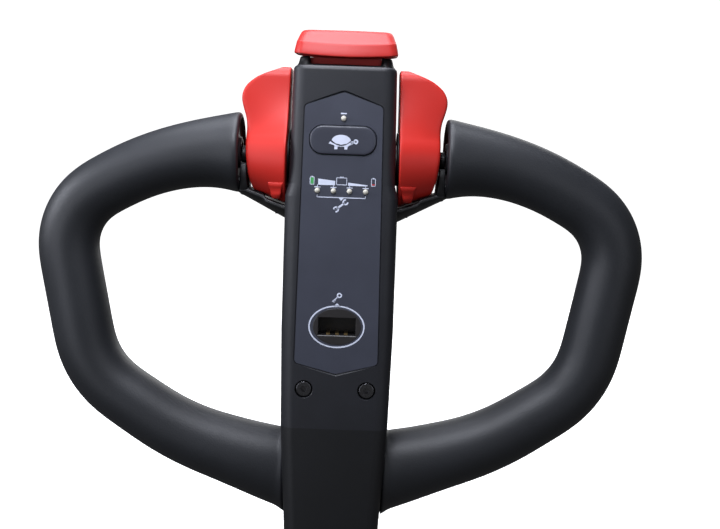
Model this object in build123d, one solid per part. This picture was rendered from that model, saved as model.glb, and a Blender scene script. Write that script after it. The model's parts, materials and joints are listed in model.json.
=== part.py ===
from build123d import *
import math
import os

# Tiller head of an electric pallet truck, in millimetres.
# The origin is the centre of the face that bolts to the tiller arm. +Z runs up along the head, the keypad
# faces -Y, and +X is to the right for someone looking at the keypad.

# ---- driving dimensions ------------------------------------------------------------------------------
# Tower: half-widths at the heights where its sides change slope.
HEAD_TOP = 278.0
SEAM_Z = 74.7
NECK_HALF_BOTTOM = 26.5
NECK_HALF_SEAM = 30.7
TOWER_HALF_LOW = 31.8
TOWER_LOW_Z = 130.0
TOWER_HALF_WAIST = 31.6
WAIST_Z = 206.0
WAIST_STEP = 7.0
TOWER_HALF_UPPER = 29.8
TOWER_HALF_TOP = 28.6
FRONT_Y = -28.0
REAR_Y = 26.0
CROWN = 0.5
FRONT_CORNER = 7.5
REAR_CORNER = 9.0
TOP_EDGE_ROUND = 2.4
WALL = 2.6
TOP_WALL = 3.0
PART_GAP = 0.3
SPLIT_Y = 0.0

# Butterfly throttle: one shaft through the tower carries both wings.
AXIS_Z = 228.0
SHAFT_R = 5.0
RUN_CLEAR = 0.05
SHAFT_HALF = 58.4
WING_GAP = 2.5
WING_OUTER = 54.6
DRUM_R_IN = 27.5
DRUM_R_OUT = 21.0
PADDLE_TOP = 278.0
PADDLE_HALF_T = 12.0
PADDLE_TIP_RISE = 6.0
SCOOP_ANGLE = 62.0
SCOOP_RISE = 28.0
LOBE_X = 58.3
LOBE_Z = 261.0
BUSH_WALL = 3.0
BUSH_FLANGE = 1.5
CARRIER_R = 11.0
CARRIER_HALF = 4.0
MAGNET_R = 2.5
SPRING_COIL_R = 8.0
PIN_R = 1.5

# Loops: the centreline's corners, on the right-hand side, and the radius that rounds each one.
GRIP_FACE_X = 59.4
LOOP_SHOULDER = (97.0, 228.5)
LOOP_UPPER_CORNER = (164.2, 192.7)
LOOP_LOWER_CORNER = (145.7, 97.5)
LOOP_KNEE = (92.0, 63.0)
LOOP_FOOT = (22.0, 46.0)
LOOP_BENDS = (140.0, 38.0, 53.0, 150.0)
GRIP_R = 17.4
GRIP_END_R = 24.0
GRIP_FOOT_R = 24.5
GRIP_END_TAPER = 24.0
GRIP_FOOT_TAPER = 38.0
GRIP_SECTIONS = 22
TUBE_R = 8.0
TUBE_WALL = 2.0

# Cradles: the bridges below the wings, from the tower to the grip ends.
CRADLE_CLEAR = 0.8
CRADLE_ROOT_T = 8.5
CRADLE_END_T = 3.0
CRADLE_HALF_ANGLE = 28.0
LUG_T = 3.6
LUG_R = 9.0
CRADLE_SCREW_Y = 7.0
CRADLE_SCREW_Z = 196.8
CRADLE_SCREW_R = 2.0
CRADLE_SCREW_END = 38.0

# Keypad panel, its controls and lamps.
PANEL_T = 0.8
PANEL_SINK = 0.25
PANEL_GROOVE = 0.5
EDGE_BREAK = 0.35
PANEL_HALF_TOP = 21.4
PANEL_HALF_BOTTOM = 23.4
PANEL_TOP_APEX = 263.7
PANEL_TOP_SHOULDER = 256.2
PANEL_BOTTOM_SHOULDER = 112.6
PANEL_BOTTOM_APEX = 106.6
PANEL_CORNER = 2.6
SPEED_W = 36.8
SPEED_H = 15.8
SPEED_CORNER = 7.2
SPEED_Z = 237.5
SPEED_TRAVEL = 0.8
SPEED_PROUD = 0.9
KEY_CLEAR = 0.35
STATUS_LED_Z = 249.4
BATTERY_LED_Z = 209.6
BATTERY_LED_PITCH = 8.9
LED_R = 1.5
SLOT_W = 21.0
SLOT_H = 10.0
SLOT_DEPTH = 13.0
SLOT_Z = 133.6
BEZEL_SIDE = 3.1
BEZEL_OVER = 5.4
BEZEL_SINK = 0.2
SOCKET_WALL = 1.6

# Circuit board behind the panel.
BOARD_Y = -20.6
BOARD_T = 1.6
BOARD_HALF_W = 17.0
BOARD_BOTTOM = 112.0
BOARD_TOP = 262.0
BOARD_POST_X = 14.0
BOARD_POST_LOW_Z = 117.0
BOARD_POST_HIGH_Z = 257.0
POST_R = 3.2
BOARD_SCREW_R = 1.5

# Neck casting, its flange to the tiller arm and the block that both covers slip over.
BLOCK_TOP = 108.0
BLOCK_HALF_W = 26.0
NECK_WALL = 4.0
FLANGE_T = 14.0
TUBE_BOSS = 4.0
BLOCK_FRONT = -21.0
BLOCK_REAR = 15.0
ARM_BOLT_X = 32.0
ARM_BOLT_Y = 26.0
INSERT_R = 4.0
INSERT_BORE_R = 3.0
INSERT_L = 12.0
PORT_R = 8.0
GROMMET_R = 9.5
GROMMET_T = 6.0
CHANNEL_R = 9.0
COVER_SCREW_X = 17.75
COVER_SCREW_Z = 97.4
SCREW_R = 2.5
SCREW_HEAD_R = 4.3
SCREW_HEAD_T = 3.4
COUNTERBORE_CLEAR = 0.8
COUNTERBORE_D = 4.2
SCREW_GRIP = 12.0
SOCKET_HEX_R = 1.9

# Spine plate that carries the switches, and the posts that tie the covers to it.
SPINE_T = 3.0
SPINE_HALF_W = 25.0
SPINE_BOTTOM = 78.0
SPINE_LAP = 18.0
TIE_X = 20.5
TIE_Z = 200.0

# Belly button on top.
CAP_GAP = 5.4
CAP_H = 15.6
CAP_HALF_LIP = 29.2
CAP_HALF_TOP = 24.4
CAP_FRONT = -22.0
CAP_REAR = 20.0
CAP_LIP_H = 7.2
CAP_ROUND = 2.0
PLUNGER_HALF_W = 21.5
PLUNGER_HALF_D = 12.0
PLUNGER_REACH = 16.0
PLUNGER_CLEAR = 0.4
GUIDE_REACH = 34.0
GUIDE_DROP = 6.0
GUIDE_WALL = 2.0
BELLY_SPRING_INSET = 7.5
BELLY_SPRING_R = 3.6
BELLY_SPRING_WIRE = 0.9
BELLY_SPRING_DROP = 3.0
SWITCH_GAP = 0.5
SWITCH_D = 6.4
SWITCH_H = 10.0

# Rear controls: lift and lower rocker, and horn button.
ROCKER_Z = 176.0
ROCKER_W = 16.0
ROCKER_H = 30.0
ROCKER_PROUD = 3.0
ROCKER_PIN_R = 1.5
ROCKER_CLEAR = 0.6
HORN_Z = 138.0
HORN_R = 8.0
HORN_PROUD = 2.5
REAR_SWITCH_GAP = 2.4
REAR_SWITCH_HALF = 4.0
REAR_SWITCH_PITCH = 18.0

# ---- shared places worked out from the sizes above ---------------------------------------------------
WING_INNER = TOWER_HALF_UPPER + WING_GAP
SPINE_FRONT = BLOCK_REAR
SPINE_REAR = SPINE_FRONT + SPINE_T
REAR_INNER = REAR_Y - WALL
FRONT_INNER = FRONT_Y + WALL
GUIDE_IN_W = PLUNGER_HALF_W + PLUNGER_CLEAR
GUIDE_IN_D = PLUNGER_HALF_D + PLUNGER_CLEAR
BUSH_R = SHAFT_R + BUSH_WALL
COUNTERBORE_R = SCREW_HEAD_R + COUNTERBORE_CLEAR
CAP_BOTTOM = HEAD_TOP + CAP_GAP
CAP_TOP = CAP_BOTTOM + CAP_H
PLUNGER_BOTTOM = HEAD_TOP - PLUNGER_REACH
GUIDE_FLOOR = HEAD_TOP - GUIDE_REACH
GUIDE_TOP = HEAD_TOP - GUIDE_DROP
SPINE_TOP = GUIDE_FLOOR + SPINE_LAP
BELLY_SPRING_X = PLUNGER_HALF_W - BELLY_SPRING_INSET
BELLY_SPRING_TOP = HEAD_TOP - BELLY_SPRING_DROP
SWITCH_HALF_W = BELLY_SPRING_X - BELLY_SPRING_R - SWITCH_GAP
BEZEL_RX = SLOT_W / 2 + BEZEL_SIDE
BEZEL_RZ = SLOT_H / 2 + BEZEL_OVER
PANEL_FRONT = FRONT_Y + PANEL_SINK
PANEL_BACK = PANEL_FRONT + PANEL_T
SOCKET_FRONT = FRONT_INNER + PART_GAP
BIG = 400.0

TOWER_PROFILE = (
    (0.0, NECK_HALF_BOTTOM),
    (SEAM_Z, NECK_HALF_SEAM),
    (TOWER_LOW_Z, TOWER_HALF_LOW),
    (WAIST_Z, TOWER_HALF_WAIST),
    (WAIST_Z + WAIST_STEP, TOWER_HALF_UPPER),
    (HEAD_TOP, TOWER_HALF_TOP),
)


def block(x0, x1, y0, y1, z0, z1):
    """A box between two corners."""
    size = Box(x1 - x0, y1 - y0, z1 - z0)
    return Pos((x0 + x1) / 2, (y0 + y1) / 2, (z0 + z1) / 2) * size


def rod_x(radius, x0, x1, y=0.0, z=AXIS_Z):
    """A cylinder along X."""
    return Pos((x0 + x1) / 2, y, z) * Rot(0, 90, 0) * Cylinder(radius, x1 - x0)


def rod_y(radius, y0, y1, x, z):
    """A cylinder along Y."""
    return Pos(x, (y0 + y1) / 2, z) * Rot(90, 0, 0) * Cylinder(radius, y1 - y0)


def rod_z(radius, z0, z1, x=0.0, y=0.0):
    """A cylinder along Z."""
    return Pos(x, y, (z0 + z1) / 2) * Cylinder(radius, z1 - z0)


def both_sides(make):
    """Two copies of a right-hand piece, one mirrored to the left, as separate solids."""
    right = make()
    return Compound(children=[*right.solids(), *mirror(right, about=Plane.YZ).solids()])


def group(pieces):
    """Several separate solids that share one node."""
    return Compound(children=[solid for piece in pieces for solid in piece.solids()])


def save(shape, name):
    """Writes one named piece."""
    shape.label = name
    export_step(shape, f"parts/{name}.step")


# ---- tower -------------------------------------------------------------------------------------------
def tower_section(z, half, inset):
    """Level section of the tower: crowned front, rounded corners, flat back."""
    half_w = half - inset
    front = FRONT_Y + inset
    rear = REAR_Y - inset
    front_r = FRONT_CORNER - inset
    rear_r = REAR_CORNER - inset
    edge = front + CROWN
    outline = Plane.XY.offset(z) * (
        ThreePointArc((-half_w + front_r, edge), (0, front), (half_w - front_r, edge))
        + ThreePointArc(*corner((half_w - front_r, edge), (half_w, edge + front_r)))
        + Line((half_w, edge + front_r), (half_w, rear - rear_r))
        + ThreePointArc(*corner((half_w - rear_r, rear), (half_w, rear - rear_r))[::-1])
        + Line((half_w - rear_r, rear), (-half_w + rear_r, rear))
        + ThreePointArc(*corner((-half_w + rear_r, rear), (-half_w, rear - rear_r)))
        + Line((-half_w, rear - rear_r), (-half_w, edge + front_r))
        + ThreePointArc(*corner((-half_w + front_r, edge), (-half_w, edge + front_r))[::-1])
    )
    return make_face(outline)


def corner(flat_end, side_end):
    """Three points of the quarter circle from the end of a level edge to the end of a side edge."""
    centre_x = flat_end[0]
    centre_y = side_end[1]
    out_x = side_end[0] - centre_x
    out_y = flat_end[1] - centre_y
    middle = (centre_x + out_x * math.sqrt(0.5), centre_y + out_y * math.sqrt(0.5))
    return flat_end, middle, side_end


def tower_solid(inset, bottom, top):
    """The tower between two heights, moved in by an inset all round."""
    stations = [(bottom, half_width(bottom))]
    stations += [(z, half) for z, half in TOWER_PROFILE if bottom < z < top]
    stations += [(top, half_width(top))]
    faces = [tower_section(z, half, inset) for z, half in stations]
    return loft(faces, ruled=True)


def half_width(z):
    """Half-width of the tower at a height."""
    for (z0, half0), (z1, half1) in zip(TOWER_PROFILE, TOWER_PROFILE[1:]):
        if z <= z1:
            return half0 + (half1 - half0) * (z - z0) / (z1 - z0)
    return TOWER_HALF_TOP


def cover_shell():
    """The hollow upper tower, before it is split into a front and a rear cover."""
    outside = tower_solid(0, SEAM_Z, HEAD_TOP)
    outside = fillet(outside.faces().sort_by(Axis.Z)[-1].edges(), TOP_EDGE_ROUND)
    inside = tower_solid(WALL, SEAM_Z, HEAD_TOP - TOP_WALL)
    stem_hole = block(-GUIDE_IN_W, GUIDE_IN_W, -GUIDE_IN_D, GUIDE_IN_D, GUIDE_FLOOR, HEAD_TOP + 1)
    bush_hole = rod_x(BUSH_R, -BIG, BIG)
    shell = outside - inside - stem_hole - bush_hole
    for y in (-CRADLE_SCREW_Y, CRADLE_SCREW_Y):
        shell -= rod_x(CRADLE_SCREW_R, -BIG, BIG, y, CRADLE_SCREW_Z)
    return shell


def panel_outline(grow, y):
    """Six-sided keypad outline with rounded corners, on a plane facing the operator."""
    points = [
        (0, PANEL_TOP_APEX + grow),
        (PANEL_HALF_TOP + grow, PANEL_TOP_SHOULDER + grow / 2),
        (PANEL_HALF_BOTTOM + grow, PANEL_BOTTOM_SHOULDER - grow / 2),
        (0, PANEL_BOTTOM_APEX - grow),
        (-PANEL_HALF_BOTTOM - grow, PANEL_BOTTOM_SHOULDER - grow / 2),
        (-PANEL_HALF_TOP - grow, PANEL_TOP_SHOULDER + grow / 2),
    ]
    face = make_face(Polyline(*points, close=True))
    face = fillet(face.vertices(), PANEL_CORNER + grow)
    return Pos(0, y, 0) * Rot(90, 0, 0) * face


def panel_mouth():
    """Bevel round the mouth of the panel's recess."""
    outside = panel_outline(PANEL_GROOVE + 3 * EDGE_BREAK, FRONT_Y - EDGE_BREAK)
    inside = panel_outline(PANEL_GROOVE, FRONT_Y + 2 * EDGE_BREAK)
    return loft([outside, inside], ruled=True)


def speed_outline(grow, y):
    """Outline of the long rounded speed button."""
    face = RectangleRounded(SPEED_W + 2 * grow, SPEED_H + 2 * grow, SPEED_CORNER + grow)
    return Pos(0, y, SPEED_Z) * Rot(90, 0, 0) * face


def to_back(face, depth):
    """Extrudes a front-facing outline towards the back."""
    return extrude(face, amount=-depth)


def led_places():
    """The four charge lamps in a row."""
    return [(BATTERY_LED_PITCH * (i - 1.5), BATTERY_LED_Z) for i in range(4)]


def bezel_solid(grow, y0, y1):
    """Oval prism around the key slot."""
    face = Ellipse(BEZEL_RX + grow, BEZEL_RZ + grow)
    return to_back(Pos(0, y0, SLOT_Z) * Rot(90, 0, 0) * face, y1 - y0)


def front_cover(shell):
    """Front half of the tower cover, with the panel recess, bosses and posts."""
    cover = shell & block(-BIG, BIG, -BIG, SPLIT_Y, 0, BIG)
    for x in (-COVER_SCREW_X, COVER_SCREW_X):
        cover += rod_y(COUNTERBORE_R + 2, FRONT_INNER - 0.5, BLOCK_FRONT, x, COVER_SCREW_Z)
    for x in (-BOARD_POST_X, BOARD_POST_X):
        for z in (BOARD_POST_LOW_Z, BOARD_POST_HIGH_Z):
            cover += rod_y(POST_R, FRONT_INNER - 0.5, BOARD_Y, x, z)
            cover -= rod_y(BOARD_SCREW_R, BOARD_Y - 4, BOARD_Y, x, z)
    for x in (-TIE_X, TIE_X):
        cover += rod_y(POST_R, FRONT_INNER - 0.5, SPINE_FRONT, x, TIE_Z)
        cover -= rod_y(BOARD_SCREW_R, SPINE_FRONT - 8, SPINE_FRONT, x, TIE_Z)
    cover -= to_back(panel_outline(PANEL_GROOVE, FRONT_Y - 1), PANEL_SINK + PANEL_T + 1)
    cover -= panel_mouth()
    cover -= to_back(speed_outline(KEY_CLEAR, FRONT_Y - 1), WALL + 2)
    cover -= bezel_solid(0, FRONT_Y - 1, FRONT_INNER + 1)
    for x, z in [(0, STATUS_LED_Z)] + led_places():
        cover -= rod_y(LED_R, FRONT_Y - 1, FRONT_INNER + 1, x, z)
    for x in (-COVER_SCREW_X, COVER_SCREW_X):
        cover -= rod_y(COUNTERBORE_R, FRONT_Y - 2, FRONT_Y + COUNTERBORE_D, x, COVER_SCREW_Z)
        cover -= rod_y(SCREW_R, FRONT_Y, BLOCK_FRONT + 1, x, COVER_SCREW_Z)
        cover -= cone_mouth(x, COVER_SCREW_Z)
    return cover


def cone_mouth(x, z):
    """Bevel round the mouth of a screw's counterbore."""
    outside = COUNTERBORE_R + 2 * EDGE_BREAK
    cone = Cone(COUNTERBORE_R - EDGE_BREAK, outside, 3 * EDGE_BREAK)
    return Pos(x, FRONT_Y + EDGE_BREAK / 2, z) * Rot(90, 0, 0) * cone


def rear_cover(shell):
    """Rear half of the tower cover, with openings for the rocker and the horn button."""
    cover = shell & block(-BIG, BIG, SPLIT_Y, BIG, 0, BIG)
    for x, z in rear_screw_places():
        cover += rod_y(COUNTERBORE_R + 1.5, SPINE_REAR, REAR_INNER + 0.5, x, z)
    half_w = ROCKER_W / 2 + ROCKER_CLEAR
    half_h = ROCKER_H / 2 + ROCKER_CLEAR
    cover -= block(-half_w, half_w, REAR_INNER - 1, REAR_Y + 1, ROCKER_Z - half_h, ROCKER_Z + half_h)
    cover -= rod_y(HORN_R + KEY_CLEAR, REAR_INNER - 1, REAR_Y + 1, 0, HORN_Z)
    for x, z in rear_screw_places():
        cover -= rod_y(COUNTERBORE_R, REAR_Y - COUNTERBORE_D, REAR_Y + 1, x, z)
        cover -= rod_y(BOARD_SCREW_R, SPINE_REAR - 1, REAR_Y, x, z)
    return cover


def rear_screw_places():
    """Four screws that pull the rear cover onto the spine plate."""
    return [(x, z) for x in (-TIE_X, TIE_X) for z in (COVER_SCREW_Z, TIE_Z)]


# ---- keypad ------------------------------------------------------------------------------------------
def keypad_panel():
    """Thin membrane sheet in the recess of the front cover."""
    panel = to_back(panel_outline(0, PANEL_FRONT), PANEL_T)
    panel -= to_back(speed_outline(KEY_CLEAR, FRONT_Y - 1), PANEL_T + 2)
    panel -= bezel_solid(0, FRONT_Y - 1, PANEL_BACK + 1)
    for x, z in [(0, STATUS_LED_Z)] + led_places():
        panel -= rod_y(LED_R, FRONT_Y - 1, PANEL_BACK + 1, x, z)
    return panel


def speed_button():
    """Long key cap with a stem that presses the switch on the board."""
    cap = to_back(speed_outline(0, FRONT_Y - SPEED_PROUD), SPEED_PROUD + WALL)
    front = cap.faces().sort_by(Axis.Y)[0]
    return fillet(front.edges(), SPEED_PROUD / 2)


def speed_switch():
    """Dome switch on the board, behind the speed button."""
    top = FRONT_INNER + SPEED_TRAVEL + 0.2
    return block(-6, 6, top, BOARD_Y, SPEED_Z - 3, SPEED_Z + 3)


def led(x, z):
    """Clear lamp with a domed nose, standing on the board."""
    body = rod_y(LED_R, FRONT_Y, BOARD_Y, x, z)
    dome = Pos(x, FRONT_Y, z) * Sphere(LED_R)
    return body + dome


def key_bezel():
    """Oval trim that fills the cover's opening, with the mouth of the key slot in it."""
    rim = bezel_solid(0, FRONT_Y + BEZEL_SINK, SOCKET_FRONT)
    rim = fillet(rim.faces().sort_by(Axis.Y)[0].edges(), EDGE_BREAK) - key_slot()
    mouth = rim.faces().sort_by(Axis.Y)[0].inner_wires()[0].edges()
    return chamfer(mouth, EDGE_BREAK)


def key_slot():
    """The space that the electronic key fills."""
    floor = FRONT_Y + SLOT_DEPTH
    return block(
        -SLOT_W / 2, SLOT_W / 2, FRONT_Y - 1, floor, SLOT_Z - SLOT_H / 2, SLOT_Z + SLOT_H / 2
    )


def key_socket():
    """Box behind the bezel that the electronic key plugs into."""
    back = FRONT_Y + SLOT_DEPTH + SOCKET_WALL
    half_w = SLOT_W / 2 + SOCKET_WALL
    half_h = SLOT_H / 2 + SOCKET_WALL
    outer = block(-half_w, half_w, SOCKET_FRONT, back, SLOT_Z - half_h, SLOT_Z + half_h)
    return fillet(outer.edges().filter_by(Axis.Y), 1.5) - key_slot()


def key_contacts():
    """Three contact blades on the floor of the key slot."""
    floor = FRONT_Y + SLOT_DEPTH
    bottom = SLOT_Z - SLOT_H / 2
    blades = [block(x - 1, x + 1, floor - 9, floor, bottom, bottom + 0.8) for x in (-5, 0, 5)]
    return group(blades)


def circuit_board():
    """Board behind the panel, cut out around the key socket."""
    board = block(-BOARD_HALF_W, BOARD_HALF_W, BOARD_Y, BOARD_Y + BOARD_T, BOARD_BOTTOM, BOARD_TOP)
    half_w = SLOT_W / 2 + SOCKET_WALL + PART_GAP
    half_h = SLOT_H / 2 + SOCKET_WALL + PART_GAP
    board -= block(
        -half_w, half_w, BOARD_Y - 1, BOARD_Y + BOARD_T + 1, SLOT_Z - half_h, SLOT_Z + half_h
    )
    for x, z in board_screw_places():
        board -= rod_y(BOARD_SCREW_R, BOARD_Y - 1, BOARD_Y + BOARD_T + 1, x, z)
    return board


def board_screw_places():
    """Corners of the board."""
    heights = (BOARD_POST_LOW_Z, BOARD_POST_HIGH_Z)
    return [(x, z) for x in (-BOARD_POST_X, BOARD_POST_X) for z in heights]


def board_screws():
    """Pan-head screws from behind the board into the cover's posts."""
    back = BOARD_Y + BOARD_T
    screws = []
    for x, z in board_screw_places():
        head = rod_y(BOARD_SCREW_R + 1.2, back, back + 1.8, x, z)
        screws.append(head + rod_y(BOARD_SCREW_R, BOARD_Y - 3.6, back, x, z))
    return group(screws)


def harness_connector():
    """Plug header on the back of the board for the cable from the tiller arm."""
    back = BOARD_Y + BOARD_T
    return block(-9, 9, back, back + 7, 158, 168)


# ---- screws ------------------------------------------------------------------------------------------
def socket_screw(x, z, seat, length, way):
    """Hex-socket screw along Y: way is 1 when its thread runs towards +Y, and -1 towards -Y."""
    top = seat - way * SCREW_HEAD_T
    low, high = sorted((seat, top))
    head = rod_y(SCREW_HEAD_R, low, high, x, z)
    rim = head.faces().sort_by(Axis.Y)[0 if way > 0 else -1]
    head = fillet(rim.edges(), 0.5)
    low, high = sorted((seat, seat + way * length))
    screw = head + rod_y(SCREW_R if way > 0 else BOARD_SCREW_R, low, high, x, z)
    hexagon = Pos(x, top, z) * Rot(90, 0, 0) * RegularPolygon(SOCKET_HEX_R, 6)
    return screw - extrude(hexagon, amount=-way * 2.0)


def cover_screws():
    """Two black socket screws below the keypad."""
    seat = FRONT_Y + COUNTERBORE_D
    sides = (-COVER_SCREW_X, COVER_SCREW_X)
    return group([socket_screw(x, COVER_SCREW_Z, seat, SCREW_GRIP, 1) for x in sides])


def rear_screws():
    """Four thinner screws through the rear cover and the spine plate."""
    seat = REAR_Y - COUNTERBORE_D
    length = seat - SPINE_FRONT + 6
    return group([socket_screw(x, z, seat, length, -1) for x, z in rear_screw_places()])


# ---- neck and spine ----------------------------------------------------------------------------------
def arm_bolt_places():
    """Rectangle of four threads towards the tiller arm."""
    return [(sx * ARM_BOLT_X / 2, sy * ARM_BOLT_Y / 2) for sx in (-1, 1) for sy in (-1, 1)]


def tiller_base(tubes, bosses):
    """Neck casting with the arm flange, the loop sockets and the block inside the covers."""
    cavity = tower_solid(NECK_WALL, FLANGE_T, SEAM_Z - FLANGE_T / 2) - bosses
    base = tower_solid(0, 0, SEAM_Z) - cavity
    base += block(-BLOCK_HALF_W, BLOCK_HALF_W, BLOCK_FRONT, BLOCK_REAR, SEAM_Z - 5, BLOCK_TOP)
    base -= rod_z(CHANNEL_R, GROMMET_T, BLOCK_TOP + 1)
    base -= rod_z(GROMMET_R, -1, GROMMET_T)
    for x, y in arm_bolt_places():
        base -= rod_z(INSERT_R, -1, INSERT_L, x, y)
    for x in (-COVER_SCREW_X, COVER_SCREW_X):
        end = FRONT_Y + COUNTERBORE_D + SCREW_GRIP
        base -= rod_y(SCREW_R, BLOCK_FRONT - 1, end, x, COVER_SCREW_Z)
    for x in (-TIE_X, TIE_X):
        base -= rod_y(BOARD_SCREW_R, SPINE_FRONT - 6, SPINE_FRONT + 1, x, COVER_SCREW_Z)
    return base - tubes


def arm_inserts():
    """Four brass threaded inserts in the flange."""
    rings = [rod_z(INSERT_R, 0, INSERT_L, x, y) - rod_z(INSERT_BORE_R, -1, INSERT_L + 1, x, y)
             for x, y in arm_bolt_places()]
    return group(rings)


def cable_grommet():
    """Rubber ring where the cable from the arm enters."""
    return rod_z(GROMMET_R, 0, GROMMET_T) - rod_z(PORT_R, -1, GROMMET_T + 1)


def spine_plate():
    """Steel plate that stands on the neck block and carries the switches."""
    plate = block(-SPINE_HALF_W, SPINE_HALF_W, SPINE_FRONT, SPINE_REAR, SPINE_BOTTOM, SPINE_TOP)
    for x, z in rear_screw_places():
        plate -= rod_y(BOARD_SCREW_R, SPINE_FRONT - 1, SPINE_REAR + 1, x, z)
    return plate


# ---- loops -------------------------------------------------------------------------------------------
def loop_path():
    """Centreline of the right-hand loop, from the grip's end face round to the neck."""
    places = [(GRIP_FACE_X, LOOP_SHOULDER[1]), LOOP_SHOULDER, LOOP_UPPER_CORNER, LOOP_LOWER_CORNER]
    places += [LOOP_KNEE, LOOP_FOOT]
    points = [(x, 0, z) for x, z in places]
    return FilletPolyline(*points, radius=list(LOOP_BENDS))


def grip_radius(run, length):
    """Radius of the grip at a distance along its centreline: thicker at both ends."""
    at_end = (GRIP_END_R - GRIP_R) * math.exp(-run / GRIP_END_TAPER)
    at_foot = (GRIP_FOOT_R - GRIP_R) * math.exp(-(length - run) / GRIP_FOOT_TAPER)
    return GRIP_R + at_end + at_foot


def grip(path, neck):
    """Moulded grip skin over the right-hand loop tube."""
    length = path.length
    sections = []
    for i in range(GRIP_SECTIONS):
        share = i / (GRIP_SECTIONS - 1)
        place = Plane(origin=path @ share, x_dir=(0, 1, 0), z_dir=path % share)
        sections.append(place * Circle(grip_radius(share * length, length)))
    skin = loft(sections)
    return skin - neck - along_loop(path, TUBE_R)


def along_loop(path, radius):
    """A round bar of one radius along a loop's centreline."""
    return sweep(Plane(origin=path @ 0, z_dir=path % 0) * Circle(radius), path=path)


def both_loops(path, radius):
    """The same bar on the right and on the left."""
    return both_sides(lambda: along_loop(path, radius))


# ---- butterfly throttle ------------------------------------------------------------------------------
def wing_outline():
    """Front outline of the right-hand wing's paddle."""
    inner = Line((WING_INNER, AXIS_Z), (WING_INNER, PADDLE_TOP))
    top = Spline(
        (WING_INNER, PADDLE_TOP), (46.0, 274.2), (55.0, 268.8), (LOBE_X, LOBE_Z), (56.8, 253.0),
        (WING_OUTER, 243.5), (WING_OUTER, AXIS_Z),
        tangents=((1, -0.15), (0, -1)),
    )
    bottom = Line((WING_OUTER, AXIS_Z), (WING_INNER, AXIS_Z))
    face = make_face(Plane.XZ * (inner + top + bottom))
    return extrude(face, amount=40, both=True)


def wing_profile():
    """Side profile of a wing: thumb scoops curve from the drum up into the paddle."""
    drum = DRUM_R_OUT - 1.5
    root_y = drum * math.sin(math.radians(SCOOP_ANGLE))
    root_z = AXIS_Z + drum * math.cos(math.radians(SCOOP_ANGLE))
    tip_z = PADDLE_TOP - PADDLE_TIP_RISE
    scoop_z = AXIS_Z + SCOOP_RISE
    middle = (PADDLE_HALF_T + 0.3 * (root_y - PADDLE_HALF_T), (root_z + scoop_z) / 2)
    right = (
        ThreePointArc((root_y, root_z), middle, (PADDLE_HALF_T, scoop_z))
        + Line((PADDLE_HALF_T, scoop_z), (PADDLE_HALF_T - 1, tip_z))
    )
    left = mirror(right, about=Plane.YZ)
    tip = ThreePointArc((PADDLE_HALF_T - 1, tip_z), (0, PADDLE_TOP), (-PADDLE_HALF_T + 1, tip_z))
    foot = Polyline((root_y, root_z), (root_y, AXIS_Z), (-root_y, AXIS_Z), (-root_y, root_z))
    face = make_face(Plane.YZ * (right + tip + left + foot))
    return extrude(face, amount=LOBE_X + 2)


def wing():
    """Right-hand wing: a cone-shaped drum on the shaft with a thumb paddle above it."""
    drum_face = make_face(Polyline(
        (WING_INNER, 0), (WING_INNER, DRUM_R_IN), (WING_OUTER, DRUM_R_OUT), (WING_OUTER, 0), close=True
    ))
    drum = Pos(0, 0, AXIS_Z) * revolve(Plane.XZ * drum_face, axis=Axis.X)
    drum = fillet(drum.edges().filter_by(GeomType.CIRCLE), 2.0)
    paddle = wing_profile() & wing_outline()
    pocket = rod_x(DRUM_R_OUT - 4, WING_INNER - 1, WING_OUTER - 6) - rod_x(BUSH_R + 2, 0, BIG)
    return drum + paddle - pocket - rod_x(SHAFT_R, 0, BIG)


def butterfly_shaft():
    """Steel shaft through the tower and both wings."""
    return rod_x(SHAFT_R, -SHAFT_HALF, SHAFT_HALF)


def tower_bushes():
    """Flanged bushes where the shaft passes the cover's sides."""
    outer = TOWER_HALF_UPPER - 0.1

    def right():
        body = rod_x(BUSH_R, outer - 6, outer + BUSH_FLANGE)
        return body - rod_x(SHAFT_R + RUN_CLEAR, 0, BIG)

    return both_sides(right)


def magnet_carrier():
    """Collar on the shaft that holds the sensor magnet."""
    collar = rod_x(CARRIER_R, -CARRIER_HALF, CARRIER_HALF) - rod_x(SHAFT_R, -BIG, BIG)
    return collar - rod_y(MAGNET_R, CARRIER_R - 3.5, CARRIER_R + 1, 0, AXIS_Z)


def sensor_magnet():
    """Disc magnet let into the collar."""
    return rod_y(MAGNET_R, CARRIER_R - 3.5, CARRIER_R - 0.5, 0, AXIS_Z)


def hall_sensor():
    """Position sensor on the spine plate, facing the magnet."""
    return block(-8, 8, CARRIER_R + 1.0, SPINE_FRONT, AXIS_Z - 8, AXIS_Z + 8)


def return_spring():
    """Spring that brings both wings back to the middle, simplified to its outer sleeve."""
    coil = rod_x(SPRING_COIL_R, CARRIER_HALF + 1, CARRIER_HALF + 13)
    return coil - rod_x(SPRING_COIL_R - 1.5, 0, BIG)


def wing_pins():
    """Cross pins that lock the wings to the shaft."""

    def right():
        return rod_z(PIN_R, AXIS_Z - BUSH_R, AXIS_Z + BUSH_R, (WING_INNER + WING_OUTER) / 2)

    return both_sides(right)


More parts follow.
